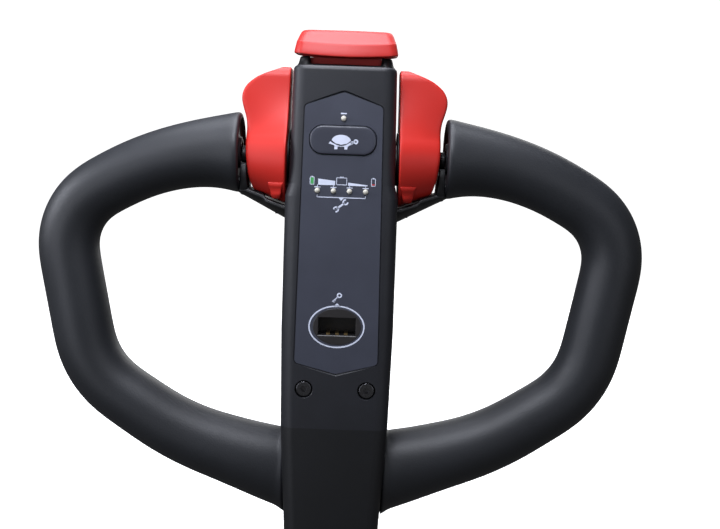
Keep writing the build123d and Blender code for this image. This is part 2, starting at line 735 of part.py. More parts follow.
# ---- cradles -----------------------------------------------------------------------------------------
def cradle(tower):
    """Right-hand bridge below the wing, with the lug for the end of the shaft."""
    root = CRADLE_CLEAR + DRUM_R_IN
    end = CRADLE_CLEAR + DRUM_R_OUT
    lug_x = GRIP_FACE_X - LUG_T
    profile = make_face(Polyline(
        (TOWER_HALF_UPPER, -root), (lug_x, -end), (GRIP_FACE_X, -end), (GRIP_FACE_X, -end - CRADLE_END_T),
        (TOWER_HALF_UPPER, -root - CRADLE_ROOT_T), close=True
    ))
    turned = Rot(CRADLE_HALF_ANGLE, 0, 0) * (Plane.XZ * profile)
    bridge = Pos(0, 0, AXIS_Z) * revolve(turned, axis=Axis.X, revolution_arc=-2 * CRADLE_HALF_ANGLE)
    web = block(lug_x, GRIP_FACE_X, -LUG_R, LUG_R, AXIS_Z - end - 1, AXIS_Z)
    lug = web + rod_x(LUG_R, lug_x, GRIP_FACE_X)
    piece = bridge + lug - tower - rod_x(SHAFT_R + RUN_CLEAR, 0, BIG)
    for y in (-CRADLE_SCREW_Y, CRADLE_SCREW_Y):
        piece -= rod_x(CRADLE_SCREW_R, 0, CRADLE_SCREW_END, y, CRADLE_SCREW_Z)
    return piece


def cradle_screws():
    """Screws from inside the covers into the cradles."""
    inner = TOWER_HALF_WAIST - WALL - 0.4

    def right():
        pair = []
        for y in (-CRADLE_SCREW_Y, CRADLE_SCREW_Y):
            head = rod_x(SCREW_HEAD_R, inner - SCREW_HEAD_T, inner, y, CRADLE_SCREW_Z)
            pair.append(head + rod_x(CRADLE_SCREW_R, inner, CRADLE_SCREW_END, y, CRADLE_SCREW_Z))
        return group(pair)

    return both_sides(right)


# ---- belly button ------------------------------------------------------------------------------------
def belly_cap():
    """Wide reversing button on top of the head."""
    shoulder = CAP_BOTTOM + CAP_LIP_H
    crest = Spline(
        (CAP_FRONT + 1.5, shoulder), (0, CAP_TOP), (CAP_REAR - 1.5, shoulder),
        tangents=((1, 0.8), (1, -0.8)),
    )
    base = Polyline(
        (CAP_REAR - 1.5, shoulder), (CAP_REAR, CAP_BOTTOM),
        (CAP_FRONT, CAP_BOTTOM), (CAP_FRONT + 1.5, shoulder),
    )
    side = make_face(Plane.YZ * (crest + base))
    front = make_face(Plane.XZ * Polyline(
        (-CAP_HALF_LIP, CAP_BOTTOM), (-CAP_HALF_TOP, CAP_TOP), (CAP_HALF_TOP, CAP_TOP),
        (CAP_HALF_LIP, CAP_BOTTOM), close=True
    ))
    cap = extrude(side, amount=CAP_HALF_LIP + 1, both=True) & extrude(front, amount=BIG, both=True)
    return fillet(cap.edges().filter_by(lambda edge: edge.center().Z > CAP_BOTTOM + 1), CAP_ROUND)


def belly_plunger():
    """Stem below the cap, sliding in the guide, with two spring pockets."""
    stem = block(
        -PLUNGER_HALF_W, PLUNGER_HALF_W, -PLUNGER_HALF_D, PLUNGER_HALF_D, PLUNGER_BOTTOM, CAP_BOTTOM
    )
    for x in (-BELLY_SPRING_X, BELLY_SPRING_X):
        stem -= rod_z(BELLY_SPRING_R + KEY_CLEAR, PLUNGER_BOTTOM - 1, BELLY_SPRING_TOP, x)
    return stem


def belly_guide():
    """Open box below the top opening that guides the plunger."""
    out_w = GUIDE_IN_W + GUIDE_WALL
    outer = block(-out_w, out_w, -GUIDE_IN_D - GUIDE_WALL, SPINE_FRONT, GUIDE_FLOOR, GUIDE_TOP)
    top = GUIDE_TOP + 1
    return outer - block(-GUIDE_IN_W, GUIDE_IN_W, -GUIDE_IN_D, GUIDE_IN_D, GUIDE_FLOOR + GUIDE_WALL, top)


def belly_springs():
    """Two springs that push the button out, simplified to their outer sleeves."""
    bottom = GUIDE_FLOOR + GUIDE_WALL

    def right():
        coil = rod_z(BELLY_SPRING_R, bottom, BELLY_SPRING_TOP, BELLY_SPRING_X)
        hollow = BELLY_SPRING_R - BELLY_SPRING_WIRE
        return coil - rod_z(hollow, bottom - 1, BELLY_SPRING_TOP + 1, BELLY_SPRING_X)

    return both_sides(right)


def belly_switch():
    """Microswitch on the guide's floor, below the plunger."""
    bottom = GUIDE_FLOOR + GUIDE_WALL
    return block(-SWITCH_HALF_W, SWITCH_HALF_W, -SWITCH_D / 2, SWITCH_D / 2, bottom, bottom + SWITCH_H)


# ---- rear controls -----------------------------------------------------------------------------------
def lift_rocker():
    """Rocker for lift and lower on the back, tilting on a cross pin."""
    outer = REAR_Y + ROCKER_PROUD
    cap = block(
        -ROCKER_W / 2, ROCKER_W / 2, REAR_INNER, outer, ROCKER_Z - ROCKER_H / 2, ROCKER_Z + ROCKER_H / 2
    )
    cap = fillet(cap.faces().sort_by(Axis.Y)[-1].edges(), 1.2)
    return cap - rod_x(ROCKER_PIN_R + RUN_CLEAR, -BIG, BIG, REAR_Y - 1, ROCKER_Z)


def rocker_pin():
    """Pin across the rocker's opening, held in the rear cover's edges."""
    half = ROCKER_W / 2 + ROCKER_CLEAR
    return rod_x(ROCKER_PIN_R, -half, half, REAR_Y - 1, ROCKER_Z)


def rear_switches():
    """Three small switches on the spine plate: lift, lower and horn."""
    half = REAR_SWITCH_HALF
    top = REAR_INNER - REAR_SWITCH_GAP
    places = (ROCKER_Z - REAR_SWITCH_PITCH / 2, ROCKER_Z + REAR_SWITCH_PITCH / 2, HORN_Z)
    return group([block(-half, half, SPINE_REAR, top, z - half, z + half) for z in places])


def horn_button():
    """Round horn button on the back."""
    cap = rod_y(HORN_R, REAR_INNER, REAR_Y + HORN_PROUD, 0, HORN_Z)
    return fillet(cap.faces().sort_by(Axis.Y)[-1].edges(), 1.0)


def build():
    """Makes every piece and writes it."""
    os.makedirs("parts", exist_ok=True)
    shell = cover_shell()
    save(front_cover(shell), "front_cover")
    save(rear_cover(shell), "rear_cover")
    save(keypad_panel(), "keypad_panel")
    save(speed_button(), "speed_button")
    save(speed_switch(), "speed_switch")
    save(led(0, STATUS_LED_Z), "status_led")
    save(group([led(x, z) for x, z in led_places()]), "battery_leds")
    save(key_bezel(), "key_bezel")
    save(key_socket(), "key_socket")
    save(key_contacts(), "key_contacts")
    save(circuit_board(), "circuit_board")
    save(board_screws(), "board_screws")
    save(harness_connector(), "harness_connector")
    save(cover_screws(), "cover_screws")
    save(rear_screws(), "rear_screws")

    path = loop_path()
    tube = along_loop(path, TUBE_R) - along_loop(path, TUBE_R - TUBE_WALL)
    neck = tower_solid(0, 0, SEAM_Z + 40)
    save(tiller_base(both_loops(path, TUBE_R), both_loops(path, TUBE_R + TUBE_BOSS)), "tiller_base")
    right_grip = grip(path, neck)
    save(right_grip, "right_grip")
    save(mirror(right_grip, about=Plane.YZ), "left_grip")
    save(tube, "right_loop_tube")
    save(mirror(tube, about=Plane.YZ), "left_loop_tube")
    save(arm_inserts(), "arm_inserts")
    save(cable_grommet(), "cable_grommet")
    save(spine_plate(), "spine_plate")

    save(butterfly_shaft() - wing_pins(), "butterfly_shaft")
    save(wing_pins(), "wing_pins")
    right_wing = wing() - wing_pins()
    save(right_wing, "right_wing")
    save(mirror(right_wing, about=Plane.YZ), "left_wing")
    save(tower_bushes(), "tower_bushes")
    save(magnet_carrier(), "magnet_carrier")
    save(sensor_magnet(), "sensor_magnet")
    save(hall_sensor(), "hall_sensor")
    save(return_spring(), "return_spring")
    tower = tower_solid(0, SEAM_Z, HEAD_TOP)
    right_cradle = cradle(tower)
    save(right_cradle, "right_cradle")
    save(mirror(right_cradle, about=Plane.YZ), "left_cradle")
    save(cradle_screws(), "cradle_screws")

    save(belly_cap(), "belly_cap")
    save(belly_plunger(), "belly_plunger")
    save(belly_guide(), "belly_guide")
    save(belly_springs(), "belly_springs")
    save(belly_switch(), "belly_switch")
    save(lift_rocker(), "lift_rocker")
    save(rocker_pin(), "rocker_pin")
    save(rear_switches(), "rear_switches")
    save(horn_button(), "horn_button")


build()
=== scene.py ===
import json
import math

import bmesh
import bpy
import numpy as np
from mathutils import Matrix, Vector


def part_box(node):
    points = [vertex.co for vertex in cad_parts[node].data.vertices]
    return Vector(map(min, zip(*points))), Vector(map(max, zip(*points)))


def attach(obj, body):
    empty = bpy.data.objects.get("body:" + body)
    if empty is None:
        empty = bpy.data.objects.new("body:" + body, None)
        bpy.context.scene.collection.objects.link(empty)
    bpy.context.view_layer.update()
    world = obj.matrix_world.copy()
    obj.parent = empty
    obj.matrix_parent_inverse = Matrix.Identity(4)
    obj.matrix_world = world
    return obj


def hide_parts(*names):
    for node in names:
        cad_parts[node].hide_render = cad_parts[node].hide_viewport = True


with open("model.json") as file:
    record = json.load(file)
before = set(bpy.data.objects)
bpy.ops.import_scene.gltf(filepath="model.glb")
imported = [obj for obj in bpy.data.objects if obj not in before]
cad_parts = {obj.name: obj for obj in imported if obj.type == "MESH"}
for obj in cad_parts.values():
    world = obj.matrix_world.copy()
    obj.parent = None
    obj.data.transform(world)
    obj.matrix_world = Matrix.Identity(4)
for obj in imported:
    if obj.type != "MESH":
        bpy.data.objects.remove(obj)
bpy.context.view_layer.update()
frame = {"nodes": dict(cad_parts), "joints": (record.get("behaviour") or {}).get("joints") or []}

# ---- neck and tower covers ----------------------------------------------------------------------------
# The neck is a glass-filled nylon moulding that bolts to the tiller arm, and two moulded covers close the
# tower above it. Their spark-eroded tools leave a fine even grain in the satin black surface.
# The neck's black is about four times darker than the covers' black. Past the plastic's own black, the
# extra darkness is painted shade for the light that falls off low on the neck. The same darkened black
# colours the cradles, lugs, thrust rings, shaft sleeves, plunger collar and plunger guide, where it paints
# the shade under the wings, in the gaps beside them and under the cap.
NECK_BLACK_WITH_PAINTED_SHADE = (0.0022, 0.0027, 0.0040)
COVER_BLACK = (0.0088, 0.0097, 0.0134)
TOWER_GRAIN, TOWER_RELIEF = 0.0007, 0.00003


def moulded_finish(name, colour, rough, grain, depth, drift=0.18, gloss=0.5):
    """Moulded plastic: eroded grain in its bump, with slow drifts of tone and of roughness."""
    finish = bpy.data.materials.new(name)
    finish.use_nodes = True
    nodes, links = finish.node_tree.nodes, finish.node_tree.links
    shader = nodes["Principled BSDF"]
    shader.inputs["Specular IOR Level"].default_value = gloss
    place = nodes.new("ShaderNodeTexCoord").outputs["Object"]

    def speckle(size, detail):
        noise = nodes.new("ShaderNodeTexNoise")
        noise.inputs["Scale"].default_value = 1 / size
        noise.inputs["Detail"].default_value = detail
        links.new(place, noise.inputs["Vector"])
        return noise.outputs["Fac"]

    def ramp(source, low, high):
        blend = nodes.new("ShaderNodeValToRGB")
        blend.color_ramp.elements[0].position = 0.3
        blend.color_ramp.elements[1].position = 0.7
        blend.color_ramp.elements[0].color = (*low, 1)
        blend.color_ramp.elements[1].color = (*high, 1)
        links.new(source, blend.inputs["Fac"])
        return blend.outputs["Color"]

    slow, fine = speckle(40 * grain, 3), speckle(grain, 2)
    darker = [c * (1 - drift) for c in colour]
    lighter = [min(1, c * (1 + drift)) for c in colour]
    links.new(ramp(slow, darker, lighter), shader.inputs["Base Color"])
    links.new(ramp(fine, [rough - 0.05] * 3, [rough + 0.05] * 3), shader.inputs["Roughness"])
    bump = nodes.new("ShaderNodeBump")
    bump.inputs["Strength"].default_value = 0.6
    bump.inputs["Distance"].default_value = depth
    links.new(fine, bump.inputs["Height"])
    links.new(bump.outputs["Normal"], shader.inputs["Normal"])
    return finish


def dress(finish, *nodes):
    """Gives CAD nodes that keep their own shape a finish."""
    for node in nodes:
        for entry in frame["nodes"][node].material_slots:
            entry.material = finish


dress(moulded_finish("neck_black", NECK_BLACK_WITH_PAINTED_SHADE, 0.52, TOWER_GRAIN, TOWER_RELIEF), "tiller_base")
cover_black = moulded_finish("cover_black", COVER_BLACK, 0.50, TOWER_GRAIN, TOWER_RELIEF)
dress(cover_black, "front_cover", "rear_cover")

# ---- loop grips ---------------------------------------------------------------------------------------
# Each closed loop is a bent steel tube with a thick polyurethane skin foamed round it. The skin swells to
# a rolled rim round a shallow recess beside the throttle wing, and flares out where it meets the neck.
AXIS_Z = next(j for j in frame["joints"] if j["name"] == "throttle_turn")["pos_m"][2]
GRIP_FACE_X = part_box("right_cradle")[1].x - 0.0008
NECK_HALF_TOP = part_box("tiller_base")[1].x
NECK_TOP_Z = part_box("tiller_base")[1].z
NECK_HALF_BOTTOM = 0.0265
LOOP_CORNERS = [(0.0970, 0.2300), (0.1632, 0.1930), (0.1450, 0.0974), (0.0920, 0.0625)]
LOOP_BENDS = [0.140, 0.038, 0.053, 0.150]
LOOP_FOOT = (0.022, 0.0406)
GRIP_R = 0.0172
GRIP_STEP = 0.0030
AROUND = 48
RIM_SWELL, RIM_FADE = 0.0066, 0.024
FOOT_SWELL, FOOT_FADE = 0.0086, 0.038
FOOT_DEPTH_R = 0.0170
FOOT_FILLET = 0.0045
FOOT_SUNK = 0.0015
LEAN_REACH, OUTWARD_REACH = 0.030, 0.060
RIM_ROUND = 0.0040
RECESS_R = 0.0196
RECESS_DEEP = 0.0030
BOSS_R, BOSS_BORE_R = 0.0092, 0.0055
RIM_LIFT = 0.0012
GRIP_CHARCOAL = (0.0112, 0.0126, 0.0158)


def make_piece(name, points, faces, finish, smooth=True):
    """A mesh piece from its corners and faces, with doubled corners welded and normals turned outwards."""
    mesh = bpy.data.meshes.new(name)
    mesh.from_pydata([tuple(p) for p in points], [], faces)
    work = bmesh.new()
    work.from_mesh(mesh)
    bmesh.ops.remove_doubles(work, verts=work.verts, dist=1e-6)
    bmesh.ops.dissolve_degenerate(work, edges=work.edges, dist=1e-7)
    bmesh.ops.recalc_face_normals(work, faces=work.faces)
    work.to_mesh(mesh)
    work.free()
    mesh.polygons.foreach_set("use_smooth", [smooth] * len(mesh.polygons))
    mesh.materials.append(finish)
    piece = bpy.data.objects.new(name, mesh)
    bpy.context.scene.collection.objects.link(piece)
    return piece


def skin_rings(rings, closed_ends=True):
    """Corners and faces of a skin stretched over rings that have the same number of points."""
    count = len(rings[0])
    points = [p for ring in rings for p in ring]
    faces = []
    for r in range(len(rings) - 1):
        for i in range(count):
            a, b = r * count + i, r * count + (i + 1) % count
            faces.append((a, b, b + count, a + count))
    if closed_ends:
        faces.append(tuple(range(count)))
        faces.append(tuple(range(len(points) - count, len(points))))
    return points, faces


def subdivide(piece, levels=1):
    """Rounds a piece with subdivision, applied to its mesh."""
    piece.modifiers.new("rounding", "SUBSURF").levels = levels
    piece.modifiers["rounding"].render_levels = levels
    shaped = bpy.data.meshes.new_from_object(piece.evaluated_get(bpy.context.evaluated_depsgraph_get()))
    piece.modifiers.clear()
    piece.data = shaped
    return piece


def mirrored(points):
    """The left-hand twin of right-hand points."""
    return [(-x, y, z) for x, y, z in points]


def bent_line(start, corners, bends, end, step):
    """A line in the X-Z plane from start to end, with each corner rounded to its bend radius."""
    line = [Vector(start)]
    corners = [Vector(corner) for corner in corners]
    for corner, bend, after in zip(corners, bends, [*corners[1:], Vector(end)]):
        into, out = (line[-1] - corner).normalized(), (after - corner).normalized()
        half = into.angle(out) / 2
        reach = bend / math.tan(half)
        middle = corner + (into + out).normalized() * bend / math.sin(half)
        a, b = corner + into * reach - middle, corner + out * reach - middle
        turn = a.angle_signed(b)
        steps = max(2, round(abs(turn) * bend / step))
        for k in range(steps + 1):
            line.append(middle + Matrix.Rotation(-turn * k / steps, 2) @ a)
    line.append(Vector(end))
    xz = np.array([tuple(p) for p in line])
    run = np.concatenate([[0], np.cumsum(np.hypot(*np.diff(xz, axis=0).T))])
    at = np.linspace(0, run[-1], round(run[-1] / step) + 1)
    return at, np.stack([np.interp(at, run, xz[:, 0]), np.interp(at, run, xz[:, 1])], axis=1)


def neck_half(z):
    """Half-width of the neck at a height."""
    return NECK_HALF_BOTTOM + (NECK_HALF_TOP - NECK_HALF_BOTTOM) * z / NECK_TOP_Z


def grip_rings():
    """Rings of the right-hand grip's skin, from the recess at its rim to inside the neck."""
    rim_z = AXIS_Z + RIM_LIFT
    at, line = bent_line((GRIP_FACE_X, rim_z), LOOP_CORNERS, LOOP_BENDS, LOOP_FOOT, GRIP_STEP)
    soft = np.copy(line)
    for _ in range(6):
        soft[1:-1] = (soft[:-2] + 2 * soft[1:-1] + soft[2:]) / 4
    along = np.gradient(soft, axis=0)
    along /= np.linalg.norm(along, axis=1)[:, None]
    angles = [2 * math.pi * k / AROUND for k in range(AROUND)]
    rings = []
    rim = GRIP_R + RIM_SWELL
    for x, r in [
        (RECESS_DEEP, BOSS_BORE_R), (0.0001, BOSS_BORE_R + 0.0001), (0.0001, BOSS_R - 0.0008),
        (0.0005, BOSS_R - 0.0003), (RECESS_DEEP, BOSS_R),
        (RECESS_DEEP, RECESS_R - 0.0006), (RECESS_DEEP - 0.0006, RECESS_R),
        (0.0008, RECESS_R), (0.0001, RECESS_R + 0.0007), (0.0001, rim - RIM_ROUND),
        (0.0004, rim - 0.4 * RIM_ROUND), (0.4 * RIM_ROUND, rim - 0.12 * RIM_ROUND),
    ]:
        rings.append([(GRIP_FACE_X + x, r * math.cos(a), rim_z + r * math.sin(a)) for a in angles])
    end = at[-1]
    upright = Vector(((NECK_HALF_TOP - NECK_HALF_BOTTOM) / NECK_TOP_Z, 1)).normalized()
    for s, (x, z), (tx, tz) in zip(at, soft, along):
        gap = x - neck_half(z)
        if s < RIM_ROUND or gap < -FOOT_SUNK:
            continue
        near = min(1, max(0, 1 - gap / LEAN_REACH)) ** 2
        outward = Vector((-tz, tx))
        if outward.dot(upright) < 0:
            outward.negate()
        across = Vector((-tz, tx))
        if gap < OUTWARD_REACH:
            across = (outward * (1 - near) + upright * near).normalized()
        r = GRIP_R + RIM_SWELL * math.exp(-s / RIM_FADE) + FOOT_SWELL * math.exp((s - end) / FOOT_FADE)
        deep = r + (FOOT_DEPTH_R - r) * math.exp((s - end) / FOOT_FADE)
        close = max(0, gap)
        flare = 0.0
        if close < FOOT_FILLET:
            flare = FOOT_FILLET - math.sqrt(FOOT_FILLET**2 - (FOOT_FILLET - close) ** 2)
        ring = []
        for a in angles:
            reach = across * (r + flare) * math.sin(a)
            ring.append((x + reach.x, (deep + 0.7 * flare) * math.cos(a), z + reach.y))
        rings.append(ring)
    return rings


def aligned(rings):
    """Flips each ring that runs the other way round than the one before it."""
    quarter = AROUND // 4
    for before, ring in zip(rings, rings[1:]):
        top = Vector(before[quarter])
        if (top - Vector(ring[quarter])).length > (top - Vector(ring[3 * quarter])).length:
            ring[:] = [ring[-k % len(ring)] for k in range(len(ring))]
    return rings


grip_charcoal = moulded_finish("grip_charcoal", GRIP_CHARCOAL, 0.50, 0.0009, 0.00010, drift=0.14)
grip_points, grip_faces = skin_rings(aligned(grip_rings()))
for side, body_points in (("right", grip_points), ("left", mirrored(grip_points))):
    grip = subdivide(make_piece(f"{side}_grip_skin", body_points, grip_faces, grip_charcoal))
    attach(grip, "head")
    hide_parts(f"{side}_grip")

# ---- cradles ------------------------------------------------------------------------------------------
# A glass-filled nylon trough is screwed to the tower's side, passes under each wing and runs on as a saddle
# under the loop's upper end. A channel in it clears the wing's finger stop, and an upright lug beside the
# grip's end has an open seat for the throttle shaft.
CRADLE_ROOT_X = 0.0297
CRADLE_FOOT_Z = 0.1905
CRADLE_CLEAR = 0.0011
CHANNEL_DEEP, CHANNEL_X, CHANNEL_FADE = 0.0020, (0.0296, 0.0446), 0.0015
SADDLE_X, SADDLE_Z, SADDLE_IN_R = 0.0665, 0.2094, 0.0140
CRADLE_WRAP = math.radians(27)
CRADLE_EDGE, SADDLE_EDGE = 0.0026, 0.0004
LUG_HALF_Y = 0.0095
LUG_TOP_DROP, LUG_WAIST_DROP = 0.0045, 0.0120
LUG_CORNER = 0.0015
SEAT_R = 0.0052
LUG_SLANT, SLANT_FROM, SLANT_LONG = 0.0012, 0.0110, 0.0080
LUG_THICK = 0.0036
LUG_X = GRIP_FACE_X - LUG_THICK
WING_INNER_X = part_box("right_wing")[0].x
DRUM_R_INNER = 0.0276
DRUM_SLOPE = 0.36


def drum_radius(x):
    """Radius of a wing's drum, a cone that narrows outwards."""
    return DRUM_R_INNER - DRUM_SLOPE * (x - WING_INNER_X)


def cradle_points():
    """Corners and faces of the right-hand trough, crescent by crescent from the tower outwards."""
    rings = []
    rim_gap = GRIP_FACE_X - 0.0002
    trough_xs = np.linspace(CRADLE_ROOT_X, rim_gap, 18)
    saddle_xs = np.linspace(GRIP_FACE_X + 0.002, SADDLE_X, 6)
    for x in [*trough_xs, rim_gap + 0.0004, *saddle_xs]:
        u = (x - CRADLE_ROOT_X) / (SADDLE_X - CRADLE_ROOT_X)
        bottom = CRADLE_FOOT_Z + (SADDLE_Z - CRADLE_FOOT_Z) * u
        inner, edge = SADDLE_IN_R, SADDLE_EDGE
        if x <= rim_gap:
            inner, edge = drum_radius(min(x, LUG_X)) + CRADLE_CLEAR, CRADLE_EDGE
        in_channel = min(x - CHANNEL_X[0], CHANNEL_X[1] - x) / CHANNEL_FADE
        inner += CHANNEL_DEEP * min(1, max(0, in_channel))
        thick = max(edge, AXIS_Z - bottom - inner)
        ring = []
        for a in np.linspace(-CRADLE_WRAP, CRADLE_WRAP, 25):
            bulge = max(0, math.cos(a / CRADLE_WRAP * math.pi / 2)) ** 0.8
            swell = CRADLE_EDGE + (thick - CRADLE_EDGE) * bulge
            ring.append((x, (inner + swell) * math.sin(a), AXIS_Z - (inner + swell) * math.cos(a)))
        for a in np.linspace(CRADLE_WRAP, -CRADLE_WRAP, 25):
            ring.append((x, inner * math.sin(a), AXIS_Z - inner * math.cos(a)))
        rings.append(ring)
    return skin_rings(rings)


def lug_points():
    """Corners and faces of the right-hand lug, a plate that rises from the trough to the shaft's seat."""
    low = drum_radius(LUG_X) + CRADLE_CLEAR + 0.8 * CRADLE_EDGE
    outline = [(low * math.sin(a), -low * math.cos(a)) for a in np.linspace(-CRADLE_WRAP, CRADLE_WRAP, 15)]
    flank = [(LUG_HALF_Y, -LUG_WAIST_DROP), (LUG_HALF_Y, -LUG_TOP_DROP - LUG_CORNER)]
    flank.append((LUG_HALF_Y - LUG_CORNER, -LUG_TOP_DROP))
    outline += flank
    edge = math.acos(LUG_TOP_DROP / SEAT_R)
    outline += [(SEAT_R * math.sin(a), -SEAT_R * math.cos(a)) for a in np.linspace(edge, -edge, 9)]
    outline += [(-y, z) for y, z in reversed(flank)]
    rings = []
    for x, shrink in [(0, 0.97), (0.0004, 0.99), (0.0010, 1), (LUG_THICK - 0.0006, 1), (LUG_THICK, 0.98)]:
        ring = []
        for y, z in outline:
            slant = LUG_SLANT * min(1, max(0, (-z - SLANT_FROM) / SLANT_LONG)) * (1 - x / LUG_THICK)
            ring.append((LUG_X + x - slant, y * shrink, AXIS_Z + z))
        rings.append(ring)
    return skin_rings(rings)


# The troughs and lugs take the neck's darkened black. Its extra darkness is painted shade under the wings
# and in the grips' recesses.
cradle_black = moulded_finish("cradle_black", NECK_BLACK_WITH_PAINTED_SHADE, 0.48, TOWER_GRAIN, TOWER_RELIEF)
for side in ("right", "left"):
    for part, (part_points, part_faces) in (("trough", cradle_points()), ("lug", lug_points())):
        part_points = part_points if side == "right" else mirrored(part_points)
        cradle = make_piece(f"{side}_cradle_{part}", part_points, part_faces, cradle_black)
        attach(cradle, "head")
        if part == "trough":
            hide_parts(f"{side}_cradle")

# ---- butterfly throttle -------------------------------------------------------------------------------
# The two wings are moulded in signal-red nylon and pinned to one steel shaft through the tower. Each is a
# cone-shaped drum whose front and back rise through a thumb scoop into a thin paddle.
WING_RED = (0.520, 0.0205, 0.0140)
PADDLE_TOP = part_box("right_wing")[1].z
PADDLE_HALF = 0.0128
PADDLE_ROUND = 0.0062
SHOULDER_R = 0.0185
SCOOP_ANGLE = math.radians(35)
SCOOP_TOP_Z = 0.0250
WING_EDGE = 0.0017
WING_INNER_EDGE = 0.0008
WING_GAP_CLOSED = 0.0004
WING_LEAN, WING_LEAN_FROM = 0.0012, 0.015
WING_MIDDLE_X = 0.045
PULL_OUT, PULL_DOWN, PULL_UP = 0.0016, 0.0020, 0.0062
WING_OUTLINE = [
    (0.2780, 0.0345), (0.2768, 0.0400), (0.2742, 0.0462), (0.2700, 0.0530), (0.2655, 0.0570),
    (0.2600, 0.0583), (0.2545, 0.0571), (0.2490, 0.0552), (0.2440, 0.0546), (0.2380, 0.0548),
    (0.2280, 0.0545), (0.2200, 0.0538), (0.2140, 0.0532), (0.2080, 0.0519), (0.2000, 0.0500),
]


def wing_inner(z):
    """Where the wing's inner side lies at a height: it leans in with the tower's side."""
    lean = min(1, max(0, (z - (AXIS_Z - WING_LEAN_FROM)) / (PADDLE_TOP - AXIS_Z + WING_LEAN_FROM)))
    return WING_INNER_X - WING_GAP_CLOSED - WING_LEAN * lean


def wing_outer(z):
    """How far out the wing's edge lies at a height, read smoothly off its outline."""
    heights, reach = np.array(WING_OUTLINE[::-1]).T
    spread = np.linspace(z - 0.0022, z + 0.0022, 7)
    return float(np.mean(np.interp(spread, heights, reach)))


def wing_profile(radius):
    """Front half of a wing's side profile for a drum radius, as points from its top to its bottom."""
    rim_z = PADDLE_TOP - AXIS_Z - PADDLE_ROUND
    rim_y = -PADDLE_HALF + PADDLE_ROUND
    line = [(0.0, rim_z + PADDLE_ROUND), (0.6 * rim_y, rim_z + PADDLE_ROUND - 0.0001)]
    for a in np.linspace(0.15, math.pi / 2, 8):
        line.append((rim_y - PADDLE_ROUND * math.sin(a), rim_z + PADDLE_ROUND * math.cos(a)))
    centre_y = SHOULDER_R - radius
    start = Vector(line[-1])
    end = Vector((centre_y - SHOULDER_R * math.cos(SCOOP_ANGLE), SHOULDER_R * math.sin(SCOOP_ANGLE)))
    pull = Vector((-PADDLE_HALF - PULL_OUT, SCOOP_TOP_Z - PULL_DOWN))
    rise = end + PULL_UP * Vector((math.sin(SCOOP_ANGLE), math.cos(SCOOP_ANGLE)))
    for t in np.linspace(0, 1, 30)[1:]:
        p = start * (1 - t) ** 3 + pull * 3 * t * (1 - t) ** 2 + rise * 3 * t**2 * (1 - t) + end * t**3
        line.append(tuple(p))
    for a in np.linspace(SCOOP_ANGLE, 0, 8)[1:]:
        line.append((centre_y - SHOULDER_R * math.cos(a), SHOULDER_R * math.sin(a)))
    line += [(-radius * math.cos(a), radius * math.sin(a)) for a in np.linspace(0, -math.pi / 2, 26)[1:]]
    return np.array(line)


def wing_points():
    """Corners and faces of the right-hand wing: a closed ring in X and Y for each step of the profile."""
    nominal = wing_profile(drum_radius(WING_MIDDLE_X))
    rounds = np.linspace(0, math.pi / 2, 5)
    rings = []
    for i, (_, height) in enumerate(nominal):
        outer = wing_outer(AXIS_Z + height)
        inner, blunt = wing_inner(AXIS_Z + height), WING_INNER_EDGE / WING_EDGE
        columns = [(inner + WING_INNER_EDGE * (1 - math.cos(a)), blunt * (1 - math.sin(a))) for a in rounds]
        across = np.linspace(inner + WING_INNER_EDGE, outer - WING_EDGE, 15)[1:-1]
        columns += [(x, 0.0) for x in across]
        columns += [(outer - WING_EDGE * (1 - math.cos(a)), 1 - math.sin(a)) for a in rounds[::-1]]
        front, back = [], []
        for x, inset in columns:
            line = wing_profile(drum_radius(x))
            before, after = line[max(0, i - 1)], line[min(len(line) - 1, i + 1)]
            way = (after - before) / np.linalg.norm(after - before)
            normal = np.array([way[1], -way[0]])
            y, z = line[i] - normal * WING_EDGE * inset
            y = min(y, 0)
            front.append((x, y, AXIS_Z + z))
            back.append((x, -y, AXIS_Z + z))
        rings.append(front + back[::-1])
    return skin_rings(rings)


def on_throttle(label, shape, finish, node=""):
    """Makes a right-hand piece and its left-hand twin that turn with the throttle."""
    points, faces = shape
    for side, here in (("right", points), ("left", mirrored(points))):
        piece = make_piece(f"{side}_{label}", here, faces, finish)
        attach(piece, "butterfly")
        if node:
            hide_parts(f"{side}_{node}")


wing_red = moulded_finish("wing_red", WING_RED, 0.43, 0.0008, 0.00001, drift=0.05, gloss=0.32)
on_throttle("wing_paddle", wing_points(), wing_red, "wing")

# A black thrust ring closes the gap between each wing's hub and the tower, and a thin black sleeve covers
# each end of the shaft between the wing and the grip. Both take the darkened black with painted shade, so
# these gaps read as shade. The sleeve is only a skin over the shaft, a dark sheet standing in for the shade
# between the wing and the grip.
THRUST_R, THRUST_BORE_R = 0.0152, 0.0104
THRUST_X = (0.0303, 0.0322)
THRUST_BEVEL = 0.0004
SLEEVE_R, SLEEVE_BORE_R = 0.00515, 0.00502
SLEEVE_X = (wing_outer(AXIS_Z) + 0.0004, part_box("butterfly_shaft")[1].x)


def turned_points(profile, count):
    """Corners and faces of a hollow piece that turns a profile of X and radius round the shaft's line."""
    rings = []
    for x, r in profile:
        turn = np.linspace(0, 2 * math.pi, count + 1)[:-1]
        rings.append([(x, r * math.cos(a), AXIS_Z + r * math.sin(a)) for a in turn])
    rings.append(rings[0])
    return skin_rings(rings, closed_ends=False)


